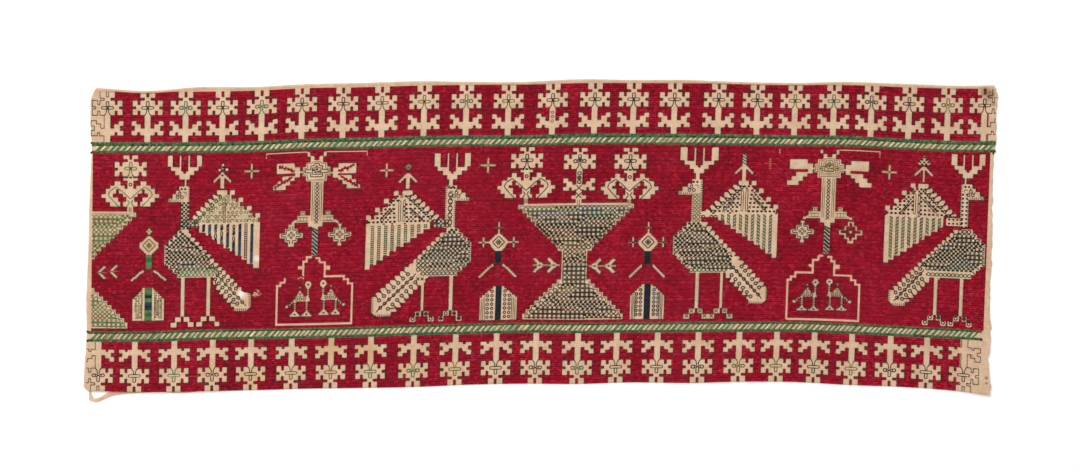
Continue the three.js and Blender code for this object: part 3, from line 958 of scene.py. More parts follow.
def scroll(pen, line="ink"):
    # the two curled leaves under a flower of the urn; the pen stands at the flower's top
    for box in ((0, 10.5, 3.25, 12), (4.5, 12, 7.25, 14), (2.5, 14, 9.25, 15.5), (0, 15.5, 11.5, 18),
                (0, 18, 13.5, 20), (0, 20, 11.75, 22), (4.5, 22, 9.75, 24)):
        pen.both(*box)
    pen.both(1.5, 12, 2.5, 15.5, False)
    pen.open(-1.5, 9.5, 1.5, 22)
    for box in ((5.25, 16, 6.5, 18), (3.5, 18, 8, 19.25), (2.0, 19.25, 5.75, 21.75), (3.25, 21.75, 4.5, 24)):
        pen.both(*box, False)
    pen.open(-3.25, 22, 3.25, 24)
    pen.open(-1.25, 24, 1.25, 26.5)
    pen.ring(0, 13.7, 0.7, 0.7, "ink", 1.0)
    curl = [(5.2, 24), (7.6, 21.6), (10.2, 18.6), (9.6, 16.8), (6.6, 14.8), (3.6, 17), (0, 20.4)]
    pen.twins((curl, line, 1.05, 0.55), ([(1.3, 20.8), (0.4, 22.1), (1.7, 24)], line, 1.05),
              ([(0.7, 9.2), (1.7, 10.9)], line, 1.1), ([(0.4, 24.2), (0.4, 26.5)], "forest", 0.8))
    pen.knot(0, 10.4, 1.4, 0.9)


def sprig(pen):
    # the middle flower: rings up its stem, two notched leaves and a foot
    pen.open(-1.4, 9.5, 1.4, 26.5)
    leafPair(pen.moved(0, 13.9), 7.5, 6)
    pen.both(1.4, 19.4, 2.2, 22, False)
    pen.open(-3.5, 22.2, 3.5, 24)
    for y, dye in ((11.9, "forest"), (14.0, "ink"), (15.9, "ink")):
        pen.ring(0, y, 0.85, 0.8, dye, 1.05)
    pen.knot(0, 14.0, 0.9, 0.8)
    for y in (18.6, 22.1):
        pen.twin([(1.3, y - 1.3), (0, y), (1.3, y + 1.3)], "ink", 1.05)
    pen.twin([(0.45, 24.2), (0.45, 28)], "sage", 0.85)


def urn(pen, kit):
    # the pen stands at the rim, on the urn's centre line
    pen.rows((0, 1, 24.5), (0.75, 3, 27))
    for k in range(9):
        pen.rows((3 + 2 * k, 5 + 2 * k, 25 - 2 * k))
    pen.rows((21, 22.75, 8), (22.75, 35.5, 6))
    for k in range(8):
        pen.rows((35.5 + 2 * k, 37.5 + 2 * k, 8 + 2 * k))
    pen.rows((51.5, 54.5, 23.5))
    line = kit["line"]
    pen.thread([(-26, 1.3), (26, 1.3)], line, 0.7)
    bowl, foot = [(26.1, 1.3), (26.1, 2.6), (24.2, 2.6)], [(7.2, 36.3)]
    for k in range(9):
        bowl += [(24.2 - 2 * k, 4.6 + 2 * k), (22.2 - 2 * k, 4.6 + 2 * k)]
    for k in range(8):
        foot += [(7.2 + 2 * k, 38.3 + 2 * k), (9.2 + 2 * k, 38.3 + 2 * k)]
    pen.twins((bowl, line, 0.7), ([(5.2, 23), (5.2, 36)], line, 0.7), (foot[:-1], line, 0.7))
    pen.thread([(-22.6, 53.6), (22.6, 53.6)], line, 0.7)
    spots = []
    for y in np.arange(2.7, 53.0, 2.0):
        if y < 22:
            reach = 25.2 - (y - 2.7) * 1.0
        elif y < 36:
            reach = 5.0
        else:
            reach = 5.9 + (y - 37)
        count = int(reach / 2.12)
        spots += [(x, y) for x in np.arange(-count, count + 0.5) * 2.12]
    spots = [(x, y) for x, y in spots if shows(pen, x, y, 0.9)]
    ringField(pen, spots, kit["fill"], 2.12, 2.0, kit["pale"], kit["widths"], 0.3)


urnBands = (         # down to this height, in these dyes
    (6, ("teal", "forest", "blue", "teal", "green")), (11, ("ink", "forest", "teal", "ink")),
    (17, ("ink", "ink", "navy", "brown")), (26, ("forest", "ink", "olive", "brown")),
    (42, ("ink", "forest", "navy", "olive")), (99, ("ink", "brown", "navy", "forest", "ink")),
)


def urnDyes(x, y):
    return next(chosen for end, chosen in urnBands if y < end)


def stackedLeaves(pen, kit):
    # the leaves beside the tree's crown, of stepped blocks; veins are red
    for side in (-1, 1):
        drop = kit["drop"] if side > 0 else 0
        half = pen.moved(0, drop, side)
        tip = kit["leafTip"][side > 0]
        half.open(9.9, 5.1, tip, 10.1)
        half.open(7.7, 7.2, 9.9, 12.2)
        half.open(6.4, 9.1, 7.9, 10.1)
        for k in range(3):
            reach = tip - 2.6 + 1.95 * k + (0.9 if side > 0 and kit["veins"] else 0)
            half.open(9.9 + 2 * k, 10.9 + 2.1 * k, reach, 13.3 + 2.1 * k)
        if kit["veins"]:
            for (x0, y0), (x1, y1) in (((17.4, 6.4), (10.2, 9.0)), ((19.4, 16.4), (11.2, 11.5))):
                half.slit(x0, y0, x1, y1, 0.75)
                half.thread([(x0, y0), (x1, y1)], "brown", 0.55, 0.7)


def littleBird(pen, tall=1.0):
    # faces left; the pen stands at the top of its head
    def fill(points):
        pen.fill([(x, y * tall) for x, y in points])
    fill([(-0.6, -0.2), (0.6, -0.2), (2.0, 1.7), (0.7, 3.6), (-0.7, 3.6), (-2.0, 1.7)])
    pen.knot(0, 1.7 * tall, 1.0, 0.9, "forest")
    pen.open(-0.5, 3.2 * tall, 0.5, 7.6 * tall)
    for y in np.arange(4.2, 7, tickPitch):
        pen.knot(0, y * tall, 1.3, 0.45, "brown")
    pen.open(3.1, 2.4 * tall, 4.3, 3.7 * tall)
    pen.ring(3.7, 3.0 * tall, 0.55, 0.55, "forest", 0.9)
    fill([(3.3, 4.4), (4.1, 4.4), (5.8, 7.2), (1.6, 7.2)])
    fill([(-0.3, 6.9), (5.8, 6.9), (7.1, 9.4), (-1.2, 9.4)])
    for x in (1.6, 3.5, 5.4):
        pen.ring(x, 8.2 * tall, 0.68, 0.62, "forest", 0.85)
    pen.thread([(0.2, 7.0 * tall), (5.6, 7.0 * tall)], "olive", 0.6)
    pen.ring(3.7, 6.0 * tall, 0.5, 0.5, "olive", 0.7, 6)
    pen.bar(5.8, 8.4 * tall, 9.6, 11.8 * tall, 1.0)
    for share in (0.3, 0.55, 0.8):
        pen.knot(5.8 + 3.8 * share, (8.4 + 3.4 * share) * tall, 0.6, 0.8, "forest")
    pen.open(9.2, 11.1 * tall, 10.5, 12.4 * tall)
    for x in (0.5, 6.0):
        pen.open(x - 0.5, 9.2 * tall, x + 0.5, 14.6 * tall)
        for y in np.arange(10.2, 13.6, tickPitch):
            pen.knot(x, y * tall, 1.3, 0.45, "forest")
        foot = [(-0.4, 13.8), (0.4, 13.8), (2.4, 15.6), (2.4, 16.5), (-2.4, 16.5), (-2.4, 15.6)]
        fill([(x + over, y) for over, y in foot])
        pen.knot(x, 15.4 * tall, 0.9, 0.8, "ink")


def pendant(pen, solid=True):
    pen.rows((0, 1.9, 1.25), (1.9, 3.9, 3), (3.9, 6.4, 5.4), (6.4, 8.4, 3), (8.4, 10.6, 1.25))
    if solid:
        steps = [(0.6, 1), (0.6, 2.7), (2.3, 2.7), (2.3, 4.6), (4.5, 4.6), (4.5, 5.7),
                 (2.3, 5.7), (2.3, 7.6), (0.6, 7.6), (0.6, 9.2)]
        pen.twin(steps, "forest", 1.0)
    else:
        for box in ((2.6, 7.6, 2.1), (4.6, 5.6, 4.4), (1.2, 9.0, 0.35)):
            pen.open(-box[2], box[0], box[2], box[1], shows=False)
        pen.open(-1, 4.1, 1, 6.1)
    for x, y in ((0, -1.1), (0, 1.1), (1.1, 0), (-1.1, 0)):
        pen.ring(x, 5.1 + y, 0.5, 0.5, "forest", 0.85, 6)


def crownLine(pen, wide, inset, dye, width):
    # follows the crown's stepped outline, further in
    reaches = [(2.8 - inset, 4.2 + inset), (wide - 1.75 - inset, 4.9 + inset), (wide - inset, 7.2 + inset)]
    steps = []
    for k, (reach, y) in enumerate(reaches):
        if reach > 0.3:
            steps += [(reach, y), (reach, reaches[k + 1][1] if k < 2 else 11.6 - inset)]
    steps += [(wide - 1.75 - inset, 11.6 - inset), (wide - 1.75 - inset, 14 - inset)]
    pen.thread(steps + [(-x, y) for x, y in steps[::-1]], dye, width, closed=True)


def tree(pen, kit):
    # the pen stands on the trunk's centre line at the thin bracket over the crown
    plain = Pen(pen.col, pen.row, pen.flip, pen.turn, None)
    for side in (-1, 1):
        drop = kit["drop"] if side > 0 else kit["leftDrop"]
        thin = plain.moved(0, drop, side)
        thin.open(4.0, 0, kit["bracket"], 0.5)
        thin.open(kit["bracket"], 0, kit["bracket"] + 0.75, kit["tick"][side > 0])
        half = pen.moved(0, drop, side)
        half.open(2.8, 0, 4.7, 2.5)
        half.open(1.1, 2.0, 3.0, 4.6)
    wide = kit["crown"]
    pen.rows((4.2, 5, 2.8), (4.9, 7.3, wide - 1.75), (7.2, 11.6, wide), (11.6, 14, wide - 1.75))
    for inset in kit["insets"]:
        crownLine(pen, wide, inset, kit["line"], 0.75)
    if kit["veins"]:
        half = [(5.3, 9.9), (5.3, 8.5), (2.7, 8.5), (2.7, 6.7), (1.2, 6.7), (1.2, 5.7)]
        foot = [(-2.7, 9.9), (-2.7, 11.8), (2.7, 11.8), (2.7, 9.9)]
        pen.thread(half + [(-x, y) for x, y in half[::-1]] + foot, kit["heart"], 1.0, closed=True)
    pen.thread([(-2.0, 7.7), (2.0, 7.7), (2.0, 10.6), (-2.0, 10.6)], kit["heart"], 1.0, closed=True)
    for x, y in ((-1.3, 8.6), (0.2, 8.4), (1.2, 9.6), (-0.5, 9.7), (0, 6.9)):
        pen.knot(x, y, 1.1, 0.7, kit["heart"])
    pen.thread([(-1.5, 9.2), (0, 8.4), (0.4, 9.8), (1.6, 8.8)], kit["heart"], 0.8)
    stackedLeaves(pen, kit)
    trunk = kit["trunk"]
    stem = pen.moved(kit["trunkShift"], 0)
    stem.open(-trunk, 13.5, trunk, 33)
    stem.twins(([(trunk - 0.7, 14), (trunk - 0.7, 32.4)], kit["line"], 0.75),
               ([(trunk - 1.5, 14), (trunk - 1.5, 32.4)], kit["line"], 0.6))
    for y in np.arange(14.2, 32, 1.75):
        dark = kit["darkFrom"] < y < kit["darkFrom"] + 10
        dye, width = ("ink", 1.1) if dark else (kit["lattice"], 0.95)
        stem.twin([(0.85, y), (0, y + 0.88), (0.85, y + 1.75)], dye, width)
    bar = kit["bar"]
    pen.rows((29.7, 31.4, bar), (31.4, 33.0, bar + 1.2))
    pen.both(4.3, 27.4, 6.9, 30)
    pen.both(bar + 1, 32.0, bar + 2.3, 33.6)
    for side in (-1, 1):
        pen.ring(side * 5.6, 28.8, 0.95, 0.9, kit["line"], 0.75, 4)
        for y in (30.5, 32.2):
            pen.thread([(side * (trunk + 0.4), y), (side * bar, y)], kit["line"], 0.75)
        pen.ticks(side * np.arange(trunk + 1.2, bar - 0.6, 1.5), 30.6, 32.1, kit["line"], 0.5, True)
    pen.open(-3.3, 33, 3.3, 35.0)
    pen.open(-1.4, 35, 1.4, 36.6)


def twistedStem(pen, pitch, long=13.2):
    pen.open(-1.4, 0, 1.4, long)
    for y in np.arange(-0.4, long - 0.6, pitch):
        blue = 6.0 < y < 9.6
        dye = pick(("navy", "teal", "blue") if blue else ("forest", "navy", "forest", "teal"))
        pen.thread([(-1.3, max(0.1, y - 0.6)), (1.3, min(long, y + 1.8))],
                   dye, 2.2 if blue else 1.9, 0.7, False)
        pen.thread([(-1.3, max(0.1, y - 0.6 + pitch / 2)), (1.3, min(long, y + 1.8 + pitch / 2))],
                   "cream", 0.8, 0.8)


def house(pen, kit):
    # a thin frame with stepped shoulders; the pen stands under the stem
    left, right, low, foot = kit["left"], kit["right"], kit["shoulder"], kit["foot"]
    (leftIn, rightIn), (leftLow, rightLow) = kit["tower"], (low, kit["rightShoulder"])
    pen.path([(-1.5, 0), (-3.4, 0), (-3.4, 2), (-leftIn, 2), (-leftIn, leftLow)])
    pen.path([(-leftIn, leftLow), (left + 4, leftLow)], 0.75)
    pen.path([(left + 3.5, leftLow), (left + 3.5, leftLow + 1.9), (left + 1.6, leftLow + 1.9),
              (left + 1.6, leftLow + 3.7), (left, leftLow + 3.7), (left, foot)])
    pen.path([(0.9, 0.5), (2.3, 0.5), (2.3, 2.5), (rightIn, 2.5), (rightIn, rightLow)])
    pen.path([(rightIn, rightLow), (right - 4, rightLow)], 0.75)
    x0, y0, x1, y1 = kit["rightSteps"]
    pen.path([(right - x0, rightLow), (right - x0, rightLow + y0), (right - x1, rightLow + y0),
              (right - x1, rightLow + y1), (right, rightLow + y1), (right, foot)])
    pen.path([(left, foot), (right, foot)])
    pen.open(-leftIn - 2.2, 3.9, -leftIn - 0.4, 5.7)
    pen.open(rightIn + 0.4, 4.0, rightIn + 2.4, 5.9)


def wear(x0, y0, x1, y1, share):
    # red silk worked over this share of a thin line, stitch by stitch
    (c0, r0), (c1, r1) = onChart(x0, y0), onChart(x1, y1)
    box = (slice(int(r0), int(r1) + 1), slice(int(c0), int(c1) + 1))
    lost = dice.random(bare[box].shape) < share
    bare[box] = bare[box] & ~lost


def arrowLeft(pen):
    for side in (-1, 1):
        pen.bar(-0.3, 0, 2.9, side * 3.0, 1.6)
    pen.thread([(-1.6, 0), (3.6, 0)], "blush", 1.3, 1.3)
    pen.knot(0.6, 0, 0.9, 0.8, "forest")


plainTree = {"line": "olive", "lattice": "forest", "pitch": 1.8}
trees = {
    (317, 151.7): {
        "bracket": 23.0, "crown": 6.6, "insets": (0.7,), "heart": "ink", "drop": 0.15, "leftDrop": -0.15,
        "tick": (2.8, 2.5), "leafTip": (18.7, 18.4), "veins": True, "trunkShift": 0.5, "trunk": 2.8,
        "darkFrom": 21.5, "bar": 8.7, "pendants": ((291.7, 224.3, True), (340, 223, True)),
        "stemAt": (315.3, 227.8), "houseAt": (314.3, 257.5), "left": -16.9, "right": 18.1, "foot": 31.2,
        "tower": (5.1, 5.1), "shoulder": 9.4, "rightShoulder": 9.1, "rightSteps": (4.2, 1.6, 2.1, 3.5),
        "birdTall": 1.0, "birds": ((308.2, 280.8, -1), (323, 280, 1)),
    },
    (830.3, 148.8): {
        "bracket": 22.8, "crown": 7.0, "insets": (0.7, 1.5, 2.3, 3.1), "heart": "olive", "drop": 0.5,
        "leftDrop": 0.25, "tick": (2.8, 3.0), "leafTip": (18.3, 18.6), "veins": False, "trunkShift": 0,
        "trunk": 3.3, "darkFrom": 99, "bar": 9.0, "pendants": ((802.8, 220.5, True), (850.5, 221.5, False)),
        "stemAt": (826.8, 226.0), "houseAt": (825.5, 255.8), "left": -17.4, "right": 15.8, "foot": 30.0,
        "tower": (5.8, 4.2), "shoulder": 8.0, "rightShoulder": 8.9, "rightSteps": (3.6, 2.2, 1.7, 4.2),
        "birdTall": 0.92, "birds": ((815.2, 278.6, -1), (829.5, 278.4, 1)),
    },
}
flowers = {
    "above": [108, 147.5, 186, 223, 262, 302, 342.5, 382, 424, 466, 508.5, 552,
              594, 633, 674, 718, 757, 794.5, 833, 871, 909, 947.5, 984],
    "below": [98, 134.5, 174.5, 212.5, 250.5, 291, 331, 370.5, 413, 454.5, 496, 535, 577,
              616, 656, 697, 738, 775.5, 813, 851, 889, 926.5, 964],
    "dyes": ("forest", "olive", "green", "ink"),
    "ringed": 552,
    "red hearts": (342.5, 382, 674, 871, 909, 947.5, 984),
    "leaves above": (13.6, 7), "leaves below": (13.9, 6.3),     # where a leaf pair starts, and its height
}
urnFlowers = {       # place, dye of the lines and of the heart
    "left": ((131.3, 155.3), "leaf", "forest"),
    "left of the sprig": ((527.8, 146.8), "ink", "forest"),
    "sprig": ((580.2, 147.8), "ink", "blue"),
    "right of the sprig": ((630.9, 147.5), "ink", "navy"),
}
urns = {
    (576.5, 203): {"line": "forest", "fill": urnDyes, "pale": "cream", "widths": (0.85, 1.0)},
    (79, 211.5): {"line": "leaf", "fill": lambda x, y: ("olive", "leaf", "sage", "olive"),
                  "pale": "reed", "widths": (0.75, 0.85)},
}
places = {
    "small crosses": {(252, 171): "ink", (387, 170): "ink", (488, 165.5): "leaf", (889, 172): "ink"},
    "dotted cross": (770, 164),
    "arrows": ((100, 272), (111, 272)),
    "fish bones": ((554, 265.5, 1), (595, 265.5, -1)),
    "worn frame": ((286, 276, 297.5, 280, 0.85), (297.5, 276, 302, 280, 0.4)),
}


def stitchAll():
    for right in flowers["above"]:
        heart = "rose" if right in flowers["red hearts"] else "forest"
        dye = pick(flowers["dyes"])
        borderFlower(borderPen(right, 0), *flowers["leaves above"], dye, heart, right == flowers["ringed"])
    for right in flowers["below"]:
        dye = pick(flowers["dyes"])
        borderFlower(borderPen(right, rows, -1), *flowers["leaves below"], dye)
    for bird in birds.values():
        stitchBird({**plainBird, **bird})
    for place, heart in places["small crosses"].items():
        smallCross(penAt(*place, edge="olive"), heart=heart)
    dotted = penAt(*places["dotted cross"])
    for k in (-4, -2, 2, 4):
        dotted.knot(0, k * 0.55, 1.1, 0.7, "sand", 1.5)
        dotted.knot(k * 0.55, 0, 0.6, 0.6, "blush", 1.5)
        dotted.knot(0.8, k * 0.55 + 0.5, 0.5, 0.5, "forest", 1.4)
    dotted.knot(0, 0, 0.9, 0.8, "sand", 1.5)

    for name, (place, line, heart) in urnFlowers.items():
        pen = penAt(*place)
        head = flowerHead(pen, 2, 1.0, 7.6)
        flowerCross(pen, head - 0.25, line, heart, 1.05)
        if name == "sprig":
            pen.knot(0, 5.2, 0.9, 1.6, "blue")
            sprig(pen)
        else:
            scroll(pen, line)
    for place, kit in urns.items():
        urn(penAt(*place), kit)
    for place in places["arrows"]:
        arrowLeft(penAt(*place))
    for place in places["fish bones"]:
        fishBone(penAt(*place))
    for place, kit in torches.items():
        torch(penAt(*place), {**plainTorch, **kit})

    for place, own in trees.items():
        kit = {**plainTree, **own}
        tree(penAt(*place), kit)
        for right, top, solid in kit["pendants"]:
            pendant(penAt(right, top), solid)
        twistedStem(penAt(*kit["stemAt"]), kit["pitch"])
        house(penAt(*kit["houseAt"], edge=None), kit)
        for place in kit["birds"]:
            littleBird(penAt(*place), kit["birdTall"])
    for box in places["worn frame"]:
        wear(*box)


stitchAll()
print("chart drawn:", int(bare.sum()), "bare half stitches,", len(threads), "threads")

# which cells are worked in red

upperEnd, fieldTop, fieldEnd, lowerTop = (int(end * 2) for end in bandEnds[1:5])
bare[upperEnd:fieldTop] = bare[fieldEnd:lowerTop] = False
red = np.zeros((rows, cols), bool)
for part, r0, r1 in (("above", 0, upperEnd), ("field", fieldTop, fieldEnd), ("below", lowerTop, rows)):
    c0, c1 = (round((x - chart["left"]) / half) for x in chart["worked"][part])
    red[r0:r1, c0:c1] = ~bare[r0:r1, c0:c1]


# meshes from arrays

def newPiece(name, points, quads, material, numbers=None, colours=None, plan=True):
    mesh = bpy.data.meshes.new(name)
    points = np.asarray(points, float) * mm
    quads = np.asarray(quads, np.int32)
    mesh.vertices.add(len(points))
    mesh.vertices.foreach_set("co", points.ravel())
    mesh.loops.add(quads.size)
    mesh.loops.foreach_set("vertex_index", quads.ravel())
    mesh.polygons.add(len(quads))
    mesh.polygons.foreach_set("loop_start", np.arange(0, quads.size, 4, dtype=np.int32))
    mesh.update(calc_edges=True)
    mesh.polygons.foreach_set("use_smooth", np.ones(len(quads), bool))
    if numbers is not None:
        mesh.attributes.new("tone", "FLOAT", "POINT").data.foreach_set("value", np.asarray(numbers, float))
    if colours is not None:
        filled = np.concatenate([colours, np.ones((len(colours), 1))], axis=1)
        mesh.attributes.new("dye", "FLOAT_COLOR", "POINT").data.foreach_set("color", filled.ravel())
    if plan:
        low, high = points.min(0), points.max(0)
        flat = (points[quads.ravel(), :2] - low[:2]) / max(high[:2] - low[:2])
        mesh.uv_layers.new(name="OFBake").data.foreach_set("uv", (flat * 0.98 + 0.01).ravel())
    mesh.materials.append(material)
    piece = bpy.data.objects.new(name, mesh)
    bpy.context.scene.collection.objects.link(piece)
    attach(piece, "root")
    return piece


thinEnd = {"width": 0.72, "rise": 0.45}      # a tapered thread's ends beside its middle


def strands(start, end, width, rise, base, tapers):
    # one thread from each start to each end: a low ridge that dips into the cloth at both ends
    shares = (0.0, 0.5, 1.0) if tapers else (0.0, 1.0)
    (x0, y0), (x1, y1) = onSheet(*start.T), onSheet(*end.T)
    along = np.stack([x1 - x0, y1 - y0], 1)
    long = np.maximum(np.linalg.norm(along, axis=1), 1e-6)
    across = np.stack([-along[:, 1], along[:, 0]], 1) / long[:, None]
    count, cuts = len(start), len(shares)
    points = np.zeros((count, cuts, 3, 3))
    for k, share in enumerate(shares):
        x, y = x0 + (x1 - x0) * share, y0 + (y1 - y0) * share
        full = share == 0.5 or not tapers
        reach = width / 2 * (1.0 if full else thinEnd["width"])
        for side, place in ((-1, 0), (0, 1), (1, 2)):
            points[:, k, place, 0] = x + across[:, 0] * reach * side
            points[:, k, place, 1] = y + across[:, 1] * reach * side
        points[:, k, :, 2] = (faceAt(x, y) + base)[:, None]
        points[:, k, 1, 2] += rise * (1.0 if full else thinEnd["rise"])
    first = np.arange(count)[:, None] * cuts * 3
    quads = []
    for a in range(0, 3 * cuts - 3, 3):
        for side in (0, 1):
            quads.append(first + np.array([a + side, a + 3 + side, a + 4 + side, a + 1 + side]))
    return points.reshape(-1, 3), np.concatenate(quads), cuts * 3


def linear(colour):
    share = np.asarray(colour, float) / 255
    return np.where(share <= 0.04045, share / 12.92, ((share + 0.055) / 1.055) ** 2.4)


dyeTable = np.array([linear(colour) for colour in dyes.values()])


# materials

class Wire:
    # a socket that can be reckoned with: sums and products of wires become Math nodes
    def __init__(self, tree, socket=None):
        self.tree, self.socket = tree, socket

    def feed(self, target, value):
        if isinstance(value, Wire):
            self.tree.links.new(value.socket, target)
        else:
            target.default_value = value

    def node(self, kind, settings=None, values=None, out=0):
        made = self.tree.nodes.new("ShaderNode" + kind)
        for name, value in (settings or {}).items():
            if name == "stops":
                ramp = made.color_ramp
                while len(ramp.elements) < len(value):
                    ramp.elements.new(0.5)
                for element, (place, colour) in zip(ramp.elements, value):
                    element.position, element.color = place, (*linear(colour), 1)
            else:
                setattr(made, name, value)
        for name, value in (values or {}).items():
            self.feed(made.inputs[name], value)
        return Wire(self.tree, made.outputs[out])

    def math(self, operation, first, second=0.5, clamp=False):
        return self.node("Math", {"operation": operation, "use_clamp": clamp}, {0: first, 1: second})

    def __add__(self, other):
        return self.math("ADD", self, other)

    def __sub__(self, other):
        return self.math("SUBTRACT", self, other)

    def __rsub__(self, other):
        return self.math("SUBTRACT", other, self)

    def __mul__(self, other):
        return self.math("MULTIPLY", self, other)

    __radd__, __rmul__ = __add__, __mul__

    def mix(self, share, first, second, how="MIX"):
        return self.node("Mix", {"data_type": "RGBA", "blend_type": how}, {0: share, 6: first, 7: second}, 2)

    def colour(self, rgb):
        return (*linear(rgb), 1)

    def noise(self, place, scale, detail=3.0, rough=0.55):
        values = {"Vector": place, "Scale": scale, "Detail": detail, "Roughness": rough}
        return self.node("TexNoise", {}, values)

    def spot(self, place, right, down, reach, soft=0.6):
        # 1 in a round spot on the cloth, fading at its rim
        centre = ((right + chart["datum"][0]) * mm, (chart["datum"][1] - down) * mm, 0)
        flat = self.node("VectorMath", {"operation": "MULTIPLY"}, {0: place, 1: (1, 1, 0)})
        away = self.node("VectorMath", {"operation": "DISTANCE"}, {0: flat, 1: centre}, 1)
        return self.node("MapRange", {"interpolation_type": "SMOOTHSTEP"},
                         {0: away, 1: reach * (1 - soft) * mm, 2: reach * (1 + soft) * mm, 3: 1.0, 4: 0.0})


def newMaterial(name, seen, shader):
    material = bpy.data.materials.new(name)
    material.use_nodes = True
    material.diffuse_color = (*linear(seen), 1)
    tree = material.node_tree
    tree.nodes.clear()
    start = Wire(tree)
    place = start.node("TexCoord", {}, {}, 3)
    finish = start.node("BsdfPrincipled", {}, shader(start, place))
    tree.links.new(finish.socket, tree.nodes.new("ShaderNodeOutputMaterial").inputs[0])
    return material


linenLook = {
    "light": (232, 200, 168), "dark": (206, 168, 136), "slub": (182, 142, 108),
    "weaveStep": 0.56,       # mm from thread to thread
    "threadScale": (120, 900),       # of the slubs, along and across a thread
}
stain, dirt = (150, 108, 70), (92, 62, 40)
tan, ochre, sandy = (210, 168, 108), (208, 160, 96), (212, 170, 108)
linenSpots = [       # right, down, reach, strength and tint
    (985, 92, 5.0, 0.45, dirt), (991, 94, 4.0, 0.55, dirt), (988, 99, 3.5, 0.35, dirt),
    (993, 104, 2.5, 0.4, dirt), (986, 378, 1.6, 0.6, dirt), (986, 383, 1.3, 0.6, dirt),
    (343, 205, 30, 0.16, stain), (95, 100, 8, 0.12, stain),
    (241.5, 294, 3.6, 0.85, (250, 244, 236)), (244.5, 296.5, 2.6, 0.7, (244, 232, 214)),
    (247.5, 300, 6.0, 0.5, (206, 160, 104)), (257, 258.5, 3.0, 0.7, (248, 232, 222)),
    (258, 250, 4.5, 0.35, (232, 190, 140)), (971, 356, 2.0, 0.5, (200, 96, 60)),
    (329, 346, 13, 0.4, ochre), (366, 351, 12, 0.42, ochre), (404, 362, 16, 0.3, tan),
    (446, 366, 16, 0.25, tan), (250, 380, 14, 0.3, sandy), (208, 372, 12, 0.25, sandy),
]


def linenShader(wire, place):
    look = linenLook
    cloudy = wire.noise(place, 55.0, 4.0)
    along, over = look["threadScale"]
    across = wire.node("Mapping", {}, {"Vector": place, "Scale": (along, over, 1)})
    down = wire.node("Mapping", {}, {"Vector": place, "Scale": (over, along, 1)})
    slubs = wire.noise(across, 1.0, 2.0) + wire.noise(down, 1.0, 2.0)
    blend = (cloudy - 0.5) * 1.7 + (slubs - 1.0) * 1.5 + 0.5
    base = wire.mix(wire.math("ADD", blend, 0.0, True), wire.colour(look["dark"]), wire.colour(look["light"]))
    worn = wire.math("GREATER_THAN", wire.noise(place, 260.0, 2.0), 0.69)
    base = wire.mix(worn * 0.4, base, wire.colour(look["slub"]))
    for *spot, strength, tint in linenSpots:
        base = wire.mix(wire.spot(place, *spot, 0.5) * strength, base, wire.colour(tint))
    weave = 2 * np.pi / (look["weaveStep"] * mm)
    split = wire.node("SeparateXYZ", {}, {0: place})
    upright = Wire(wire.tree, split.socket.node.outputs[1])
    ripple = wire.math("SINE", split * weave) * wire.math("SINE", upright * weave)
    bump = wire.node("Bump", {}, {"Strength": 0.35, "Distance": 0.0003,
                                  "Height": ripple * 0.5 + slubs * 0.8 + cloudy * 0.6})
    return {"Base Color": base, "Roughness": 0.86, "Specular IOR Level": 0.12, "Normal": bump}


redLook = {
    "stops": [(0.0, (104, 0, 20)), (0.35, (150, 0, 30)), (0.62, (168, 3, 37)), (1.0, (200, 44, 68))],
    "fadeTo": (172, 34, 60),
    "worn": [(257.5, 291.5, 2.4), (255, 294.2, 2.6), (259, 294, 2.0)],      # right, down and reach
    "wornTint": (232, 180, 150),
}


def redShader(wire, place):
    tone = wire.node("Attribute", {"attribute_name": "tone"}, {}, 2)
    fine = wire.noise(place, 900.0, 2.0)
    faded = wire.noise(place, 9.0, 3.0)
    shade = wire.math("ADD", tone, (fine - 0.5) * 0.5, True)
    base = wire.node("ValToRGB", {"stops": redLook["stops"]}, {0: shade})
    fadeShare = wire.math("MULTIPLY", faded - 0.45, 0.8, True)
    base = wire.mix(fadeShare, base, wire.colour(redLook["fadeTo"]))
    patchy = wire.math("GREATER_THAN", wire.noise(place, 330.0, 2.0), 0.45)
    for spot in redLook["worn"]:
        base = wire.mix(wire.spot(place, *spot, 0.4) * patchy * 0.8, base, wire.colour(redLook["wornTint"]))
    return {"Base Color": base, "Roughness": 0.55, "Specular IOR Level": 0.16}


# red silk below the strands, its colours darkened well past the silk's own as painted shade in the gaps
# between strands and rows
def bedShadeShader(wire, place):
    base = wire.mix(wire.noise(place, 500.0, 2.0), wire.colour((60, 0, 10)), wire.colour((100, 0, 22)))
    return {"Base Color": base, "Roughness": 0.8, "Specular IOR Level": 0.08}


def dyedShader(wire, place):
    dye = wire.node("Attribute", {"attribute_name": "dye"}, {}, 0)
    patchy = wire.noise(place, 420.0, 3.0)
    pale = wire.mix(0.03, dye, wire.colour((206, 186, 140)))
    deep = wire.mix(1.0, dye, wire.colour((190, 190, 190)), "MULTIPLY")
    base = wire.mix(wire.math("MULTIPLY", patchy - 0.3, 2.0, True), deep, pale)
    return {"Base Color": base, "Roughness": 0.55, "Specular IOR Level": 0.16}


def paperShader(wire, place):
    base = wire.mix(wire.noise(place, 3.0, 2.0), wire.colour((250, 250, 249)), wire.colour((255, 255, 255)))
    return {"Base Color": base, "Roughness": 0.9, "Specular IOR Level": 0.1,
            "Emission Color": (1, 1, 1, 1), "Emission Strength": 0.12}


linen = newMaterial("linen", (214, 184, 148), linenShader)
redSilk = newMaterial("red_silk", (146, 10, 34), redShader)
# the dark red layer under the red strands: red silk darkened as painted shade
shadedRedBed = newMaterial("red_silk_below_painted_shade", (96, 2, 22), bedShadeShader)
dyedSilk = newMaterial("dyed_silk", (60, 84, 58), dyedShader)
paper = newMaterial("white_paper", (250, 250, 250), paperShader)
print("materials made")

# the linen sheet

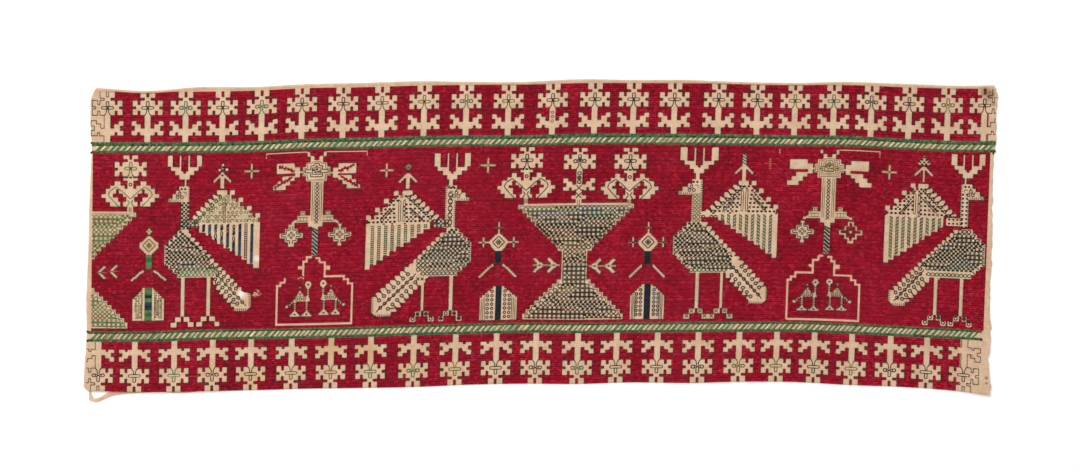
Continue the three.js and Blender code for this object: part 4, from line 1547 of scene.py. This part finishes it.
sheetKit = {
    "pitch": 4.3,            # from one mesh line to the next
    "ends": (-452.0, 450.0),
    "leftLines": (0.7, 2.0), "rightLines": (1.6, 0.6, 0.0),      # close lines at both ends
    "hemLines": (0.0, 0.35, 0.9, 1.7, 2.6),      # close lines down the hem
    "hemRoll": 0.35,         # how much thinner the hem is just under its fold
    "hemStep": 1.5,          # thickness where the hem ends
    "leftFade": 12, "rightFade": 24,     # how far in the wandering edges reach
}


def sideAt(name, y):
    return np.interp(y, sides["height"], sides[name])


def sheetGrid():
    left, right = sheetKit["ends"]
    nominal = np.concatenate([
        [left], left + np.array(sheetKit["leftLines"]), np.arange(left + 4, right - 3, sheetKit["pitch"]),
        right - np.array(sheetKit["rightLines"]),
    ])
    chartRows = np.concatenate([[0, 1.6], np.arange(4, rows - 3, 4), [rows - 1.4, rows]])
    hemLines = sheetKit["hemLines"]
    count = len(hemLines) + len(chartRows)
    fray = dice.normal(0, cloth["fray"], count)
    x = np.repeat(nominal[None], count, 0)
    leftShare = np.clip(1 - (nominal - left) / sheetKit["leftFade"], 0, 1)
    rightShare = np.clip(1 - (right - nominal) / sheetKit["rightFade"], 0, 1)
    for _ in range(2):
        levels = bandHeights(x)
        y = np.zeros_like(x)
        top = heightOf("top", x)
        for k, offset in enumerate(hemLines):
            y[k] = top[k] - offset
        for k, row in enumerate(chartRows, len(hemLines)):
            band, share = bandOf(row)
            y[k] = levels[band, k] + (levels[band + 1, k] - levels[band, k]) * share
        leftEdge, rightEdge = sideAt("left", y[:, 0]), sideAt("right", y[:, -1]) + fray
        x = nominal[None] + leftShare * (leftEdge - left)[:, None] + rightShare * (rightEdge - right)[:, None]
    return x, y, len(hemLines)


def gridCorners(shape):
    number = np.arange(shape[0] * shape[1]).reshape(shape)
    return number, number[:-1, :-1], number[:-1, 1:], number[1:, 1:], number[1:, :-1]


def closedSheet(name, x, y, high, low, corners, rims):
    # an upper and a lower face over one grid of places, joined round the rim
    points = np.concatenate([np.stack([x, y, face], 2).reshape(-1, 3) for face in (high, low)])
    count = x.size
    upper = np.stack(corners, 2).reshape(-1, 4)
    quads = [upper, upper[:, ::-1] + count]
    for line in rims:
        quads.append(np.stack([line[1:], line[:-1], line[:-1] + count, line[1:] + count], 1))
    return newPiece(name, points, np.concatenate(quads), linen, plan=False)


def softNoise(shape, size):
    # an even random field, smoothed over so many cells
    coarse = dice.normal(0, 1, (shape[0] // size + 3, shape[1] // size + 3))
    down = np.arange(shape[0]) / size
    over = np.arange(shape[1]) / size
    r, c = down.astype(int), over.astype(int)
    fr, fc = smooth(down - r)[:, None], smooth(over - c)[None]
    upper = coarse[r][:, c] * (1 - fc) + coarse[r][:, c + 1] * fc
    lower = coarse[r + 1][:, c] * (1 - fc) + coarse[r + 1][:, c + 1] * fc
    return upper * (1 - fr) + lower * fr


def buildSheet():
    x, y, hemCount = sheetGrid()
    thick = np.full(x.shape, cloth["linen"])
    thick[:hemCount] = cloth["hem"]
    thick[0], thick[1] = cloth["cutEdge"] + 0.2, cloth["hem"] - sheetKit["hemRoll"]
    thick[hemCount - 1] = sheetKit["hemStep"]
    thick[-1] = cloth["cutEdge"]
    thick[:, [0, -1]] = np.minimum(thick[:, [0, -1]], cloth["cutEdge"])
    number, a, b, c, d = gridCorners(x.shape)
    rims = (number[0, ::-1], number[-1], number[:, 0], number[::-1, -1])
    high = faceAt(x, y) + thick - cloth["linen"]
    return closedSheet("linen_cloth", x, y, high, liftAt(x, y), (a, d, c, b), rims)


clothPiece = buildSheet()
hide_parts("linen_panel")
print("linen made")

# the strip that hangs out behind the bottom edge

tapeKit = {
    "thickness": 0.9, "crease": 0.12, "stepsPerSection": 4,
    # from its outer to its inner edge: places, shares of the thickness and of the crease
    "across": [0, 0.12, 0.5, 0.88, 1], "profile": [0.7, 1, 0.92, 1, 0.7], "creased": [0, 1, 0.3, -1, 0],
}
tapeSections = {
    "outerX": [-451.2, -451.4, -451.3, -450.8, -446.9, -442.8, -437.5, -433.2, -428.5,
               -422.5, -414.5, -403.5, -390.5, -377.5, -368.5, -356.5, -343.5, -334.5],
    "outerY": [-146.6, -151.2, -155.8, -160.0, -160.9, -161.4, -159.5, -157.7, -155.7,
               -154.6, -153.6, -152.9, -152.1, -151.7, -152.7, -152.7, -151.3, -149.7],
    "innerX": [-447.6, -449.4, -448.2, -446.2, -445.5, -443.2, -439.3, -435.2, -430.0,
               -423.3, -414.9, -403.7, -390.5, -377.5, -368.5, -356.5, -343.5, -334.5],
    "innerY": [-147.0, -151.0, -155.5, -158.6, -158.3, -158.1, -156.6, -153.9, -151.5,
               -150.6, -149.8, -149.2, -148.4, -148.0, -148.9, -148.8, -147.5, -145.9],
    "base": [0, 0, 0, 0.2, 0.9, 0.6, 0.1, 0, 0, 0, 0, 0, 0, 0, 0, 0, 0, 0],
}


def buildTape():
    last = len(tapeSections["base"]) - 1
    along = np.linspace(0, last, last * tapeKit["stepsPerSection"] + 1)
    curve = {name: curveThrough(column, along)[:, None] for name, column in tapeSections.items()}
    across, profile, creased = (np.array(tapeKit[name]) for name in ("across", "profile", "creased"))
    x, y = (curve["outer" + axis] * (1 - across) + curve["inner" + axis] * across for axis in "XY")
    low = np.repeat(np.maximum(curve["base"], 0), len(across), 1)
    crease = tapeKit["crease"] * np.sin(along * 2.3)[:, None] * creased
    high = low + tapeKit["thickness"] * profile + np.minimum(crease, 0.1)
    number, a, b, c, d = gridCorners(x.shape)
    rims = (number[0], number[-1, ::-1], number[::-1, 0], number[:, -1])
    return closedSheet("bottom_tape", x, y, high, low, (d, c, b, a), rims)


tapePiece = buildTape()
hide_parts("edge_tape")

# the red ground: one stitch to each square of the chart, leaning one way and the other on alternate rows

# shortPaintedShade darkens the tone of the short arms, which lie under the long arms: painted shade
silk = {
    "bedRise": 0.15, "longWidth": 1.05, "longRise": 0.7, "shortWidth": 0.8, "shortRise": 0.35,
    "base": 0.12, "reachOver": 0.5, "rowGap": 0.2, "shortPaintedShade": 0.22, "jitter": 0.09, "bedRun": 12,
    "outlineWidth": 0.7, "outlineBase": 0.35, "outlineRise": 0.6, "outlineJitter": 0.07,
}
toneKit = {
    "middle": 0.46, "toRight": 0.05, "toLowerRight": 0.1,        # paler towards the right
    "run": (25, 75), "runSpread": 0.02,      # stitches from one length of silk
    "clouds": 0.06, "cloudSize": 16, "patches": 0.05, "patchSize": 4, "each": 0.2,
}


def redTones():
    squares = (rows // 2, cols // 2)
    tone = np.zeros(squares)
    for i in range(squares[0]):
        c = 0
        while c < squares[1]:
            run = int(dice.integers(*toneKit["run"]))
            tone[i, c:c + run] = dice.normal(0, toneKit["runSpread"])
            c += run
    clouds = toneKit["clouds"] * softNoise(squares, toneKit["cloudSize"])
    patches = toneKit["patches"] * softNoise(squares, toneKit["patchSize"])
    tone += clouds + patches + dice.normal(0, toneKit["each"], squares)
    across = np.linspace(0, 1, squares[1])[None]
    down = np.linspace(0, 1, squares[0])[:, None]
    slope = toneKit["middle"] + toneKit["toLowerRight"] * across * down + toneKit["toRight"] * across
    return np.clip(slope + tone, 0, 1)


tones = redTones()


def redSquares():
    blocks = red.reshape(rows // 2, 2, cols // 2, 2).transpose(0, 2, 1, 3)
    i, j = np.nonzero(blocks.any((2, 3)))
    block = blocks[i, j]
    hasRow, hasCol = block.any(2), block.any(1)
    r0 = 2 * i + np.where(hasRow[:, 0], 0, 1)
    r1 = 2 * i + np.where(hasRow[:, 1], 2, 1)
    c0 = 2 * j + np.where(hasCol[:, 0], 0, 1)
    c1 = 2 * j + np.where(hasCol[:, 1], 2, 1)
    full = np.zeros((rows // 2, cols // 2 + 2), bool)
    full[:, 1:-1] = blocks.all((2, 3))
    return i, j, r0, r1, c0, c1, full[i, j], full[i, j + 2]


def buildRed(name, chosen, parts):
    i, j, r0, r1, c0, c1, fullLeft, fullRight = (part[chosen] for part in parts)
    rising = i % 2 == 0
    r0 = r0 + np.where(rising, silk["rowGap"], 0)
    r1 = r1 - np.where(rising, 0, silk["rowGap"])
    over = silk["reachOver"]
    left = c0 - np.where(fullLeft, over, 0)
    right = c1 + np.where(fullRight, over, 0)
    jitter = dice.normal(0, silk["jitter"], (len(i), 4))
    longStart = np.stack([left + jitter[:, 0], np.where(rising, r1, r0) + jitter[:, 1]], 1)
    longEnd = np.stack([right + jitter[:, 2], np.where(rising, r0, r1) + jitter[:, 3]], 1)
    shortStart = np.stack([c0, np.where(rising, r0, r1)], 1)
    shortEnd = np.stack([c1, np.where(rising, r1, r0)], 1)
    tone = tones[i, j]
    a = strands(longStart, longEnd, silk["longWidth"], silk["longRise"], silk["base"] + 0.06, True)
    b = strands(shortStart, shortEnd, silk["shortWidth"], silk["shortRise"], silk["base"], False)
    points = np.concatenate([a[0], b[0]])
    quads = np.concatenate([a[1], b[1] + len(a[0])])
    # the short arms, under the long arms, are given a darker tone as painted shade
    shaded = np.clip(tone - silk["shortPaintedShade"], 0, 1)
    numbers = np.concatenate([np.repeat(tone, a[2]), np.repeat(shaded, b[2])])
    return newPiece(name, points, quads, redSilk, numbers=numbers)


def runs(line, longest):
    # every stretch that is set, in pieces no longer than this
    edges = np.flatnonzero(np.diff(np.concatenate([[0], line.astype(int), [0]])))
    for start, end in zip(edges[::2], edges[1::2]):
        for place in range(start, end, longest):
            yield place, min(place + longest, end)


# a flat dark red layer under the red stitching, showing in the gaps as painted shade
def buildBed():
    starts = [(r, *ends) for r in range(rows) for ends in runs(red[r], silk["bedRun"])]
    r, c0, c1 = np.array(starts).T
    corners = [onSheet(c0, r), onSheet(c1, r), onSheet(c1, r + 1), onSheet(c0, r + 1)]
    points = np.stack([np.stack([x, y, faceAt(x, y) + silk["bedRise"]], 1) for x, y in corners], 1)
    quads = np.arange(len(r) * 4).reshape(-1, 4)[:, ::-1]
    return newPiece("red_silk_below_painted_shade", points.reshape(-1, 3), quads, shadedRedBed)


squareParts = redSquares()
squareRow, squareCol = squareParts[0], squareParts[1]
third = cols // 6
stitchPieces = [buildBed()]
inField = (squareRow >= fieldTop // 2) & (squareRow < lowerTop // 2)
regions = {
    "red_border_above": squareRow < upperEnd / 2,
    "red_field_left": inField & (squareCol < third),
    "red_field_middle": inField & (squareCol >= third) & (squareCol < 2 * third),
    "red_field_right": inField & (squareCol >= 2 * third),
    "red_border_below": squareRow >= lowerTop // 2,
}
for name, chosen in regions.items():
    stitchPieces.append(buildRed(name, chosen, squareParts))
print("red ground stitched:", len(squareRow), "stitches")

# outlines round every bare shape, and the lines and rings inside them


def outlineRuns():
    noLine = {upperEnd, fieldTop, fieldEnd, lowerTop}
    found = []
    limits = np.zeros((rows, cols), bool)
    limits[:, slice(*chart["fieldCols"])] = True
    limits[:upperEnd] = limits[lowerTop:] = True
    for r in range(1, rows):
        if r in noLine:
            continue
        line = (bare[r - 1] != bare[r]) & limits[r] & ~plainEdge[r - 1] & ~plainEdge[r]
        for c, end in runs(line, 2):
            found.append((c - 0.1, r, end + 0.1, r, max(edgeDye[r - 1, c], edgeDye[r, c])))
    for c in range(1, cols):
        line = (bare[:, c - 1] != bare[:, c]) & limits[:, c] & limits[:, c - 1]
        line &= ~plainEdge[:, c - 1] & ~plainEdge[:, c]
        for r, end in runs(line, 2):
            found.append((c, r + 0.12, c, end - 0.12, max(edgeDye[r, c - 1], edgeDye[r, c])))
    return np.array(found, float)


def dyedPoints(dye, each, spread=0.1):
    shade = np.clip(dice.normal(1.0, spread, len(dye)), 0.7, 1.4)
    return np.repeat(dyeTable[dye] * shade[:, None], each, 0)


outlines = outlineRuns()
wobble = dice.normal(0, silk["outlineJitter"], (len(outlines), 4))
made = strands(outlines[:, :2] + wobble[:, :2], outlines[:, 2:4] + wobble[:, 2:], silk["outlineWidth"],
               silk["outlineRise"], silk["outlineBase"], True)
stitchPieces.append(newPiece("outline_stitches", made[0], made[1], dyedSilk,
                             colours=dyedPoints(outlines[:, 4].astype(int), made[2], 0.15)))
print("outlined with", len(outlines), "stitches")


def buildThreads(name, drawn, base=0.06):
    table = np.array(drawn, float)
    groups = []
    for tapered in (True, False):
        part = table[table[:, 7] == tapered]
        for width, rise in np.unique(part[:, 4:6], axis=0):
            some = part[(part[:, 4] == width) & (part[:, 5] == rise)]
            p, q, each = strands(some[:, 0:2], some[:, 2:4], width, rise, base, tapered)
            groups.append((p, q, dyedPoints(some[:, 6].astype(int), each)))
    offset, quads = 0, []
    for p, q, _ in groups:
        quads.append(q + offset)
        offset += len(p)
    return newPiece(name, np.concatenate([g[0] for g in groups]), np.concatenate(quads), dyedSilk,
                    colours=np.concatenate([g[2] for g in groups]))


stitchPieces.append(buildThreads("coloured_lines_and_rings", threads))

# the two rope bands

ropes = [
    {"row": upperEnd, "rise": 0.0, "top": 3.7, "foot": 2.4, "from": 2.9, "to": 840.0, "barsTo": 832.0,
     "depth": 10.4, "pitch": (5.6, 5.0)},
    {"row": fieldEnd, "rise": 0.8, "top": 2.9, "foot": 2.6, "from": 0.8, "to": 834.5, "barsTo": 827.0,
     "depth": 10.6, "pitch": (5.1, 4.8)},
]
ropeKit = {
    # each edge is two rows of small stitches; a dye is taken up to its share
    "rows": (((0.34, "sage"), (0.8, "green"), (0.92, "leaf"), (1.0, "teal")),
             ((0.3, "forest"), (0.85, "green"), (1.0, "leaf"))),
    "stitchPitch": 0.95,
    "pitchAt": [600, 760],   # columns between which the bars' pitch changes
    "bar": {"usual": 2.3, "wide": 2.9, "dye": "cream"},
    "between": {"from": 1.7, "short": 0.7, "pitch": 0.85, "dyes": ("olive", "leaf", "sand", "leaf", "sage")},
}
fringe = {       # loose ends at the raw edge: places, dye and width
    "loop": ([(990, 141), (994, 141.5), (995.5, 143.5), (994, 146)], "green", 1.1),
    "knot": ([(989.5, 151), (992.5, 151.5), (993.5, 154.5)], "ink", 1.7),
    "end": ([(991.5, 152), (994, 149.5)], "forest", 1.0),
}
ropeThreads = []


def ropeThread(c0, r0, c1, r1, width, rise, dye):
    ropeThreads.append((c0, r0, c1, r1, width, rise, dyeNumber[dye], True))


def layRope(rope):
    row = rope["row"] - rope["rise"]
    low = row + rope["depth"]
    top, foot = row + rope["top"], low - rope["foot"]
    for start, end in ((row, top), (foot, low)):
        height = (end - start) / 2
        for k, dyed in enumerate(ropeKit["rows"]):
            for c in np.arange(rope["from"], rope["to"], ropeKit["stitchPitch"]):
                drawn = dice.random()
                dye = next(dye for share, dye in dyed if drawn < share)
                ropeThread(c, start + height * (k + 1), c + 0.8, start + height * k, 1.15, 0.55, dye)
    bar, between = ropeKit["bar"], ropeKit["between"]
    c = rope["from"] + 2
    while c < rope["barsTo"]:
        step = float(np.clip(dice.normal(np.interp(c, ropeKit["pitchAt"], rope["pitch"]), 0.7), 4.0, 7.4))
        wide = bar["wide"] if dice.random() < 0.2 else bar["usual"]
        ropeThread(c - 0.4, foot, c + 4.2, top, wide, 0.75, bar["dye"])
        for k in np.arange(between["from"], step - between["short"], between["pitch"]):
            ropeThread(c + k - 0.4, foot, c + k + 4.0, top, 0.95, 0.45, pick(between["dyes"]))
        c += step
    for y in (row + 0.6, low - 0.6):
        ropeThread(rope["from"] - 1.2, y, rope["from"] + 0.6, y, 2.2, 0.8, "ink")
    ropeThread(rope["to"] - 0.4, low - 0.6, rope["to"] + 1.0, low - 0.6, 2.0, 0.8, "ink")


for rope in ropes:
    layRope(rope)
for points, dye, wide in fringe.values():
    for start, end in zip(points, points[1:]):
        ropeThread(*onChart(*start), *onChart(*end), wide, 0.7, dye)
stitchPieces.append(buildThreads("rope_bands", ropeThreads, 0.12))
print("ropes laid with", len(ropeThreads), "threads")

# floor, light and camera

view = {
    "lens": 85.0, "sensor": 36.0, "width": 1.080,    # metres across the picture at the cloth
    "centre": (-0.0005, 0.00425),
    "floor": 6.0, "softLight": 1.6, "softPower": 48.0, "softAt": (-1.3, 1.6, 2.3), "sky": 0.68,
}
bpy.ops.mesh.primitive_plane_add(size=view["floor"], location=(0, 0, -0.0001))
floor = bpy.context.object
floor.name = "floor"
floor.data.materials.append(paper)

lamp = bpy.data.lights.new("soft_light", "AREA")
lamp.size, lamp.energy = view["softLight"], view["softPower"]
lampHolder = bpy.data.objects.new("soft_light", lamp)
lampHolder.location = view["softAt"]
bpy.context.scene.collection.objects.link(lampHolder)
aim = bpy.data.objects.new("aim", None)
bpy.context.scene.collection.objects.link(aim)
follow = lampHolder.constraints.new("TRACK_TO")
follow.target, follow.track_axis, follow.up_axis = aim, "TRACK_NEGATIVE_Z", "UP_Y"

world = bpy.data.worlds.new("studio")
bpy.context.scene.world = world
world.use_nodes = True
background = world.node_tree.nodes["Background"]
background.inputs[0].default_value, background.inputs[1].default_value = (1, 1, 1, 1), view["sky"]

eye = bpy.data.cameras.new("camera")
eye.lens, eye.sensor_width = view["lens"], view["sensor"]
eyeHolder = bpy.data.objects.new("camera", eye)
eyeHolder.location = (*view["centre"], view["width"] * view["lens"] / view["sensor"])
bpy.context.scene.collection.objects.link(eyeHolder)
bpy.context.scene.camera = eyeHolder
bpy.context.scene.view_settings.view_transform = "Standard"

print("triangles:", sum(2 * len(piece.data.polygons) for piece in stitchPieces + [clothPiece, tapePiece]))
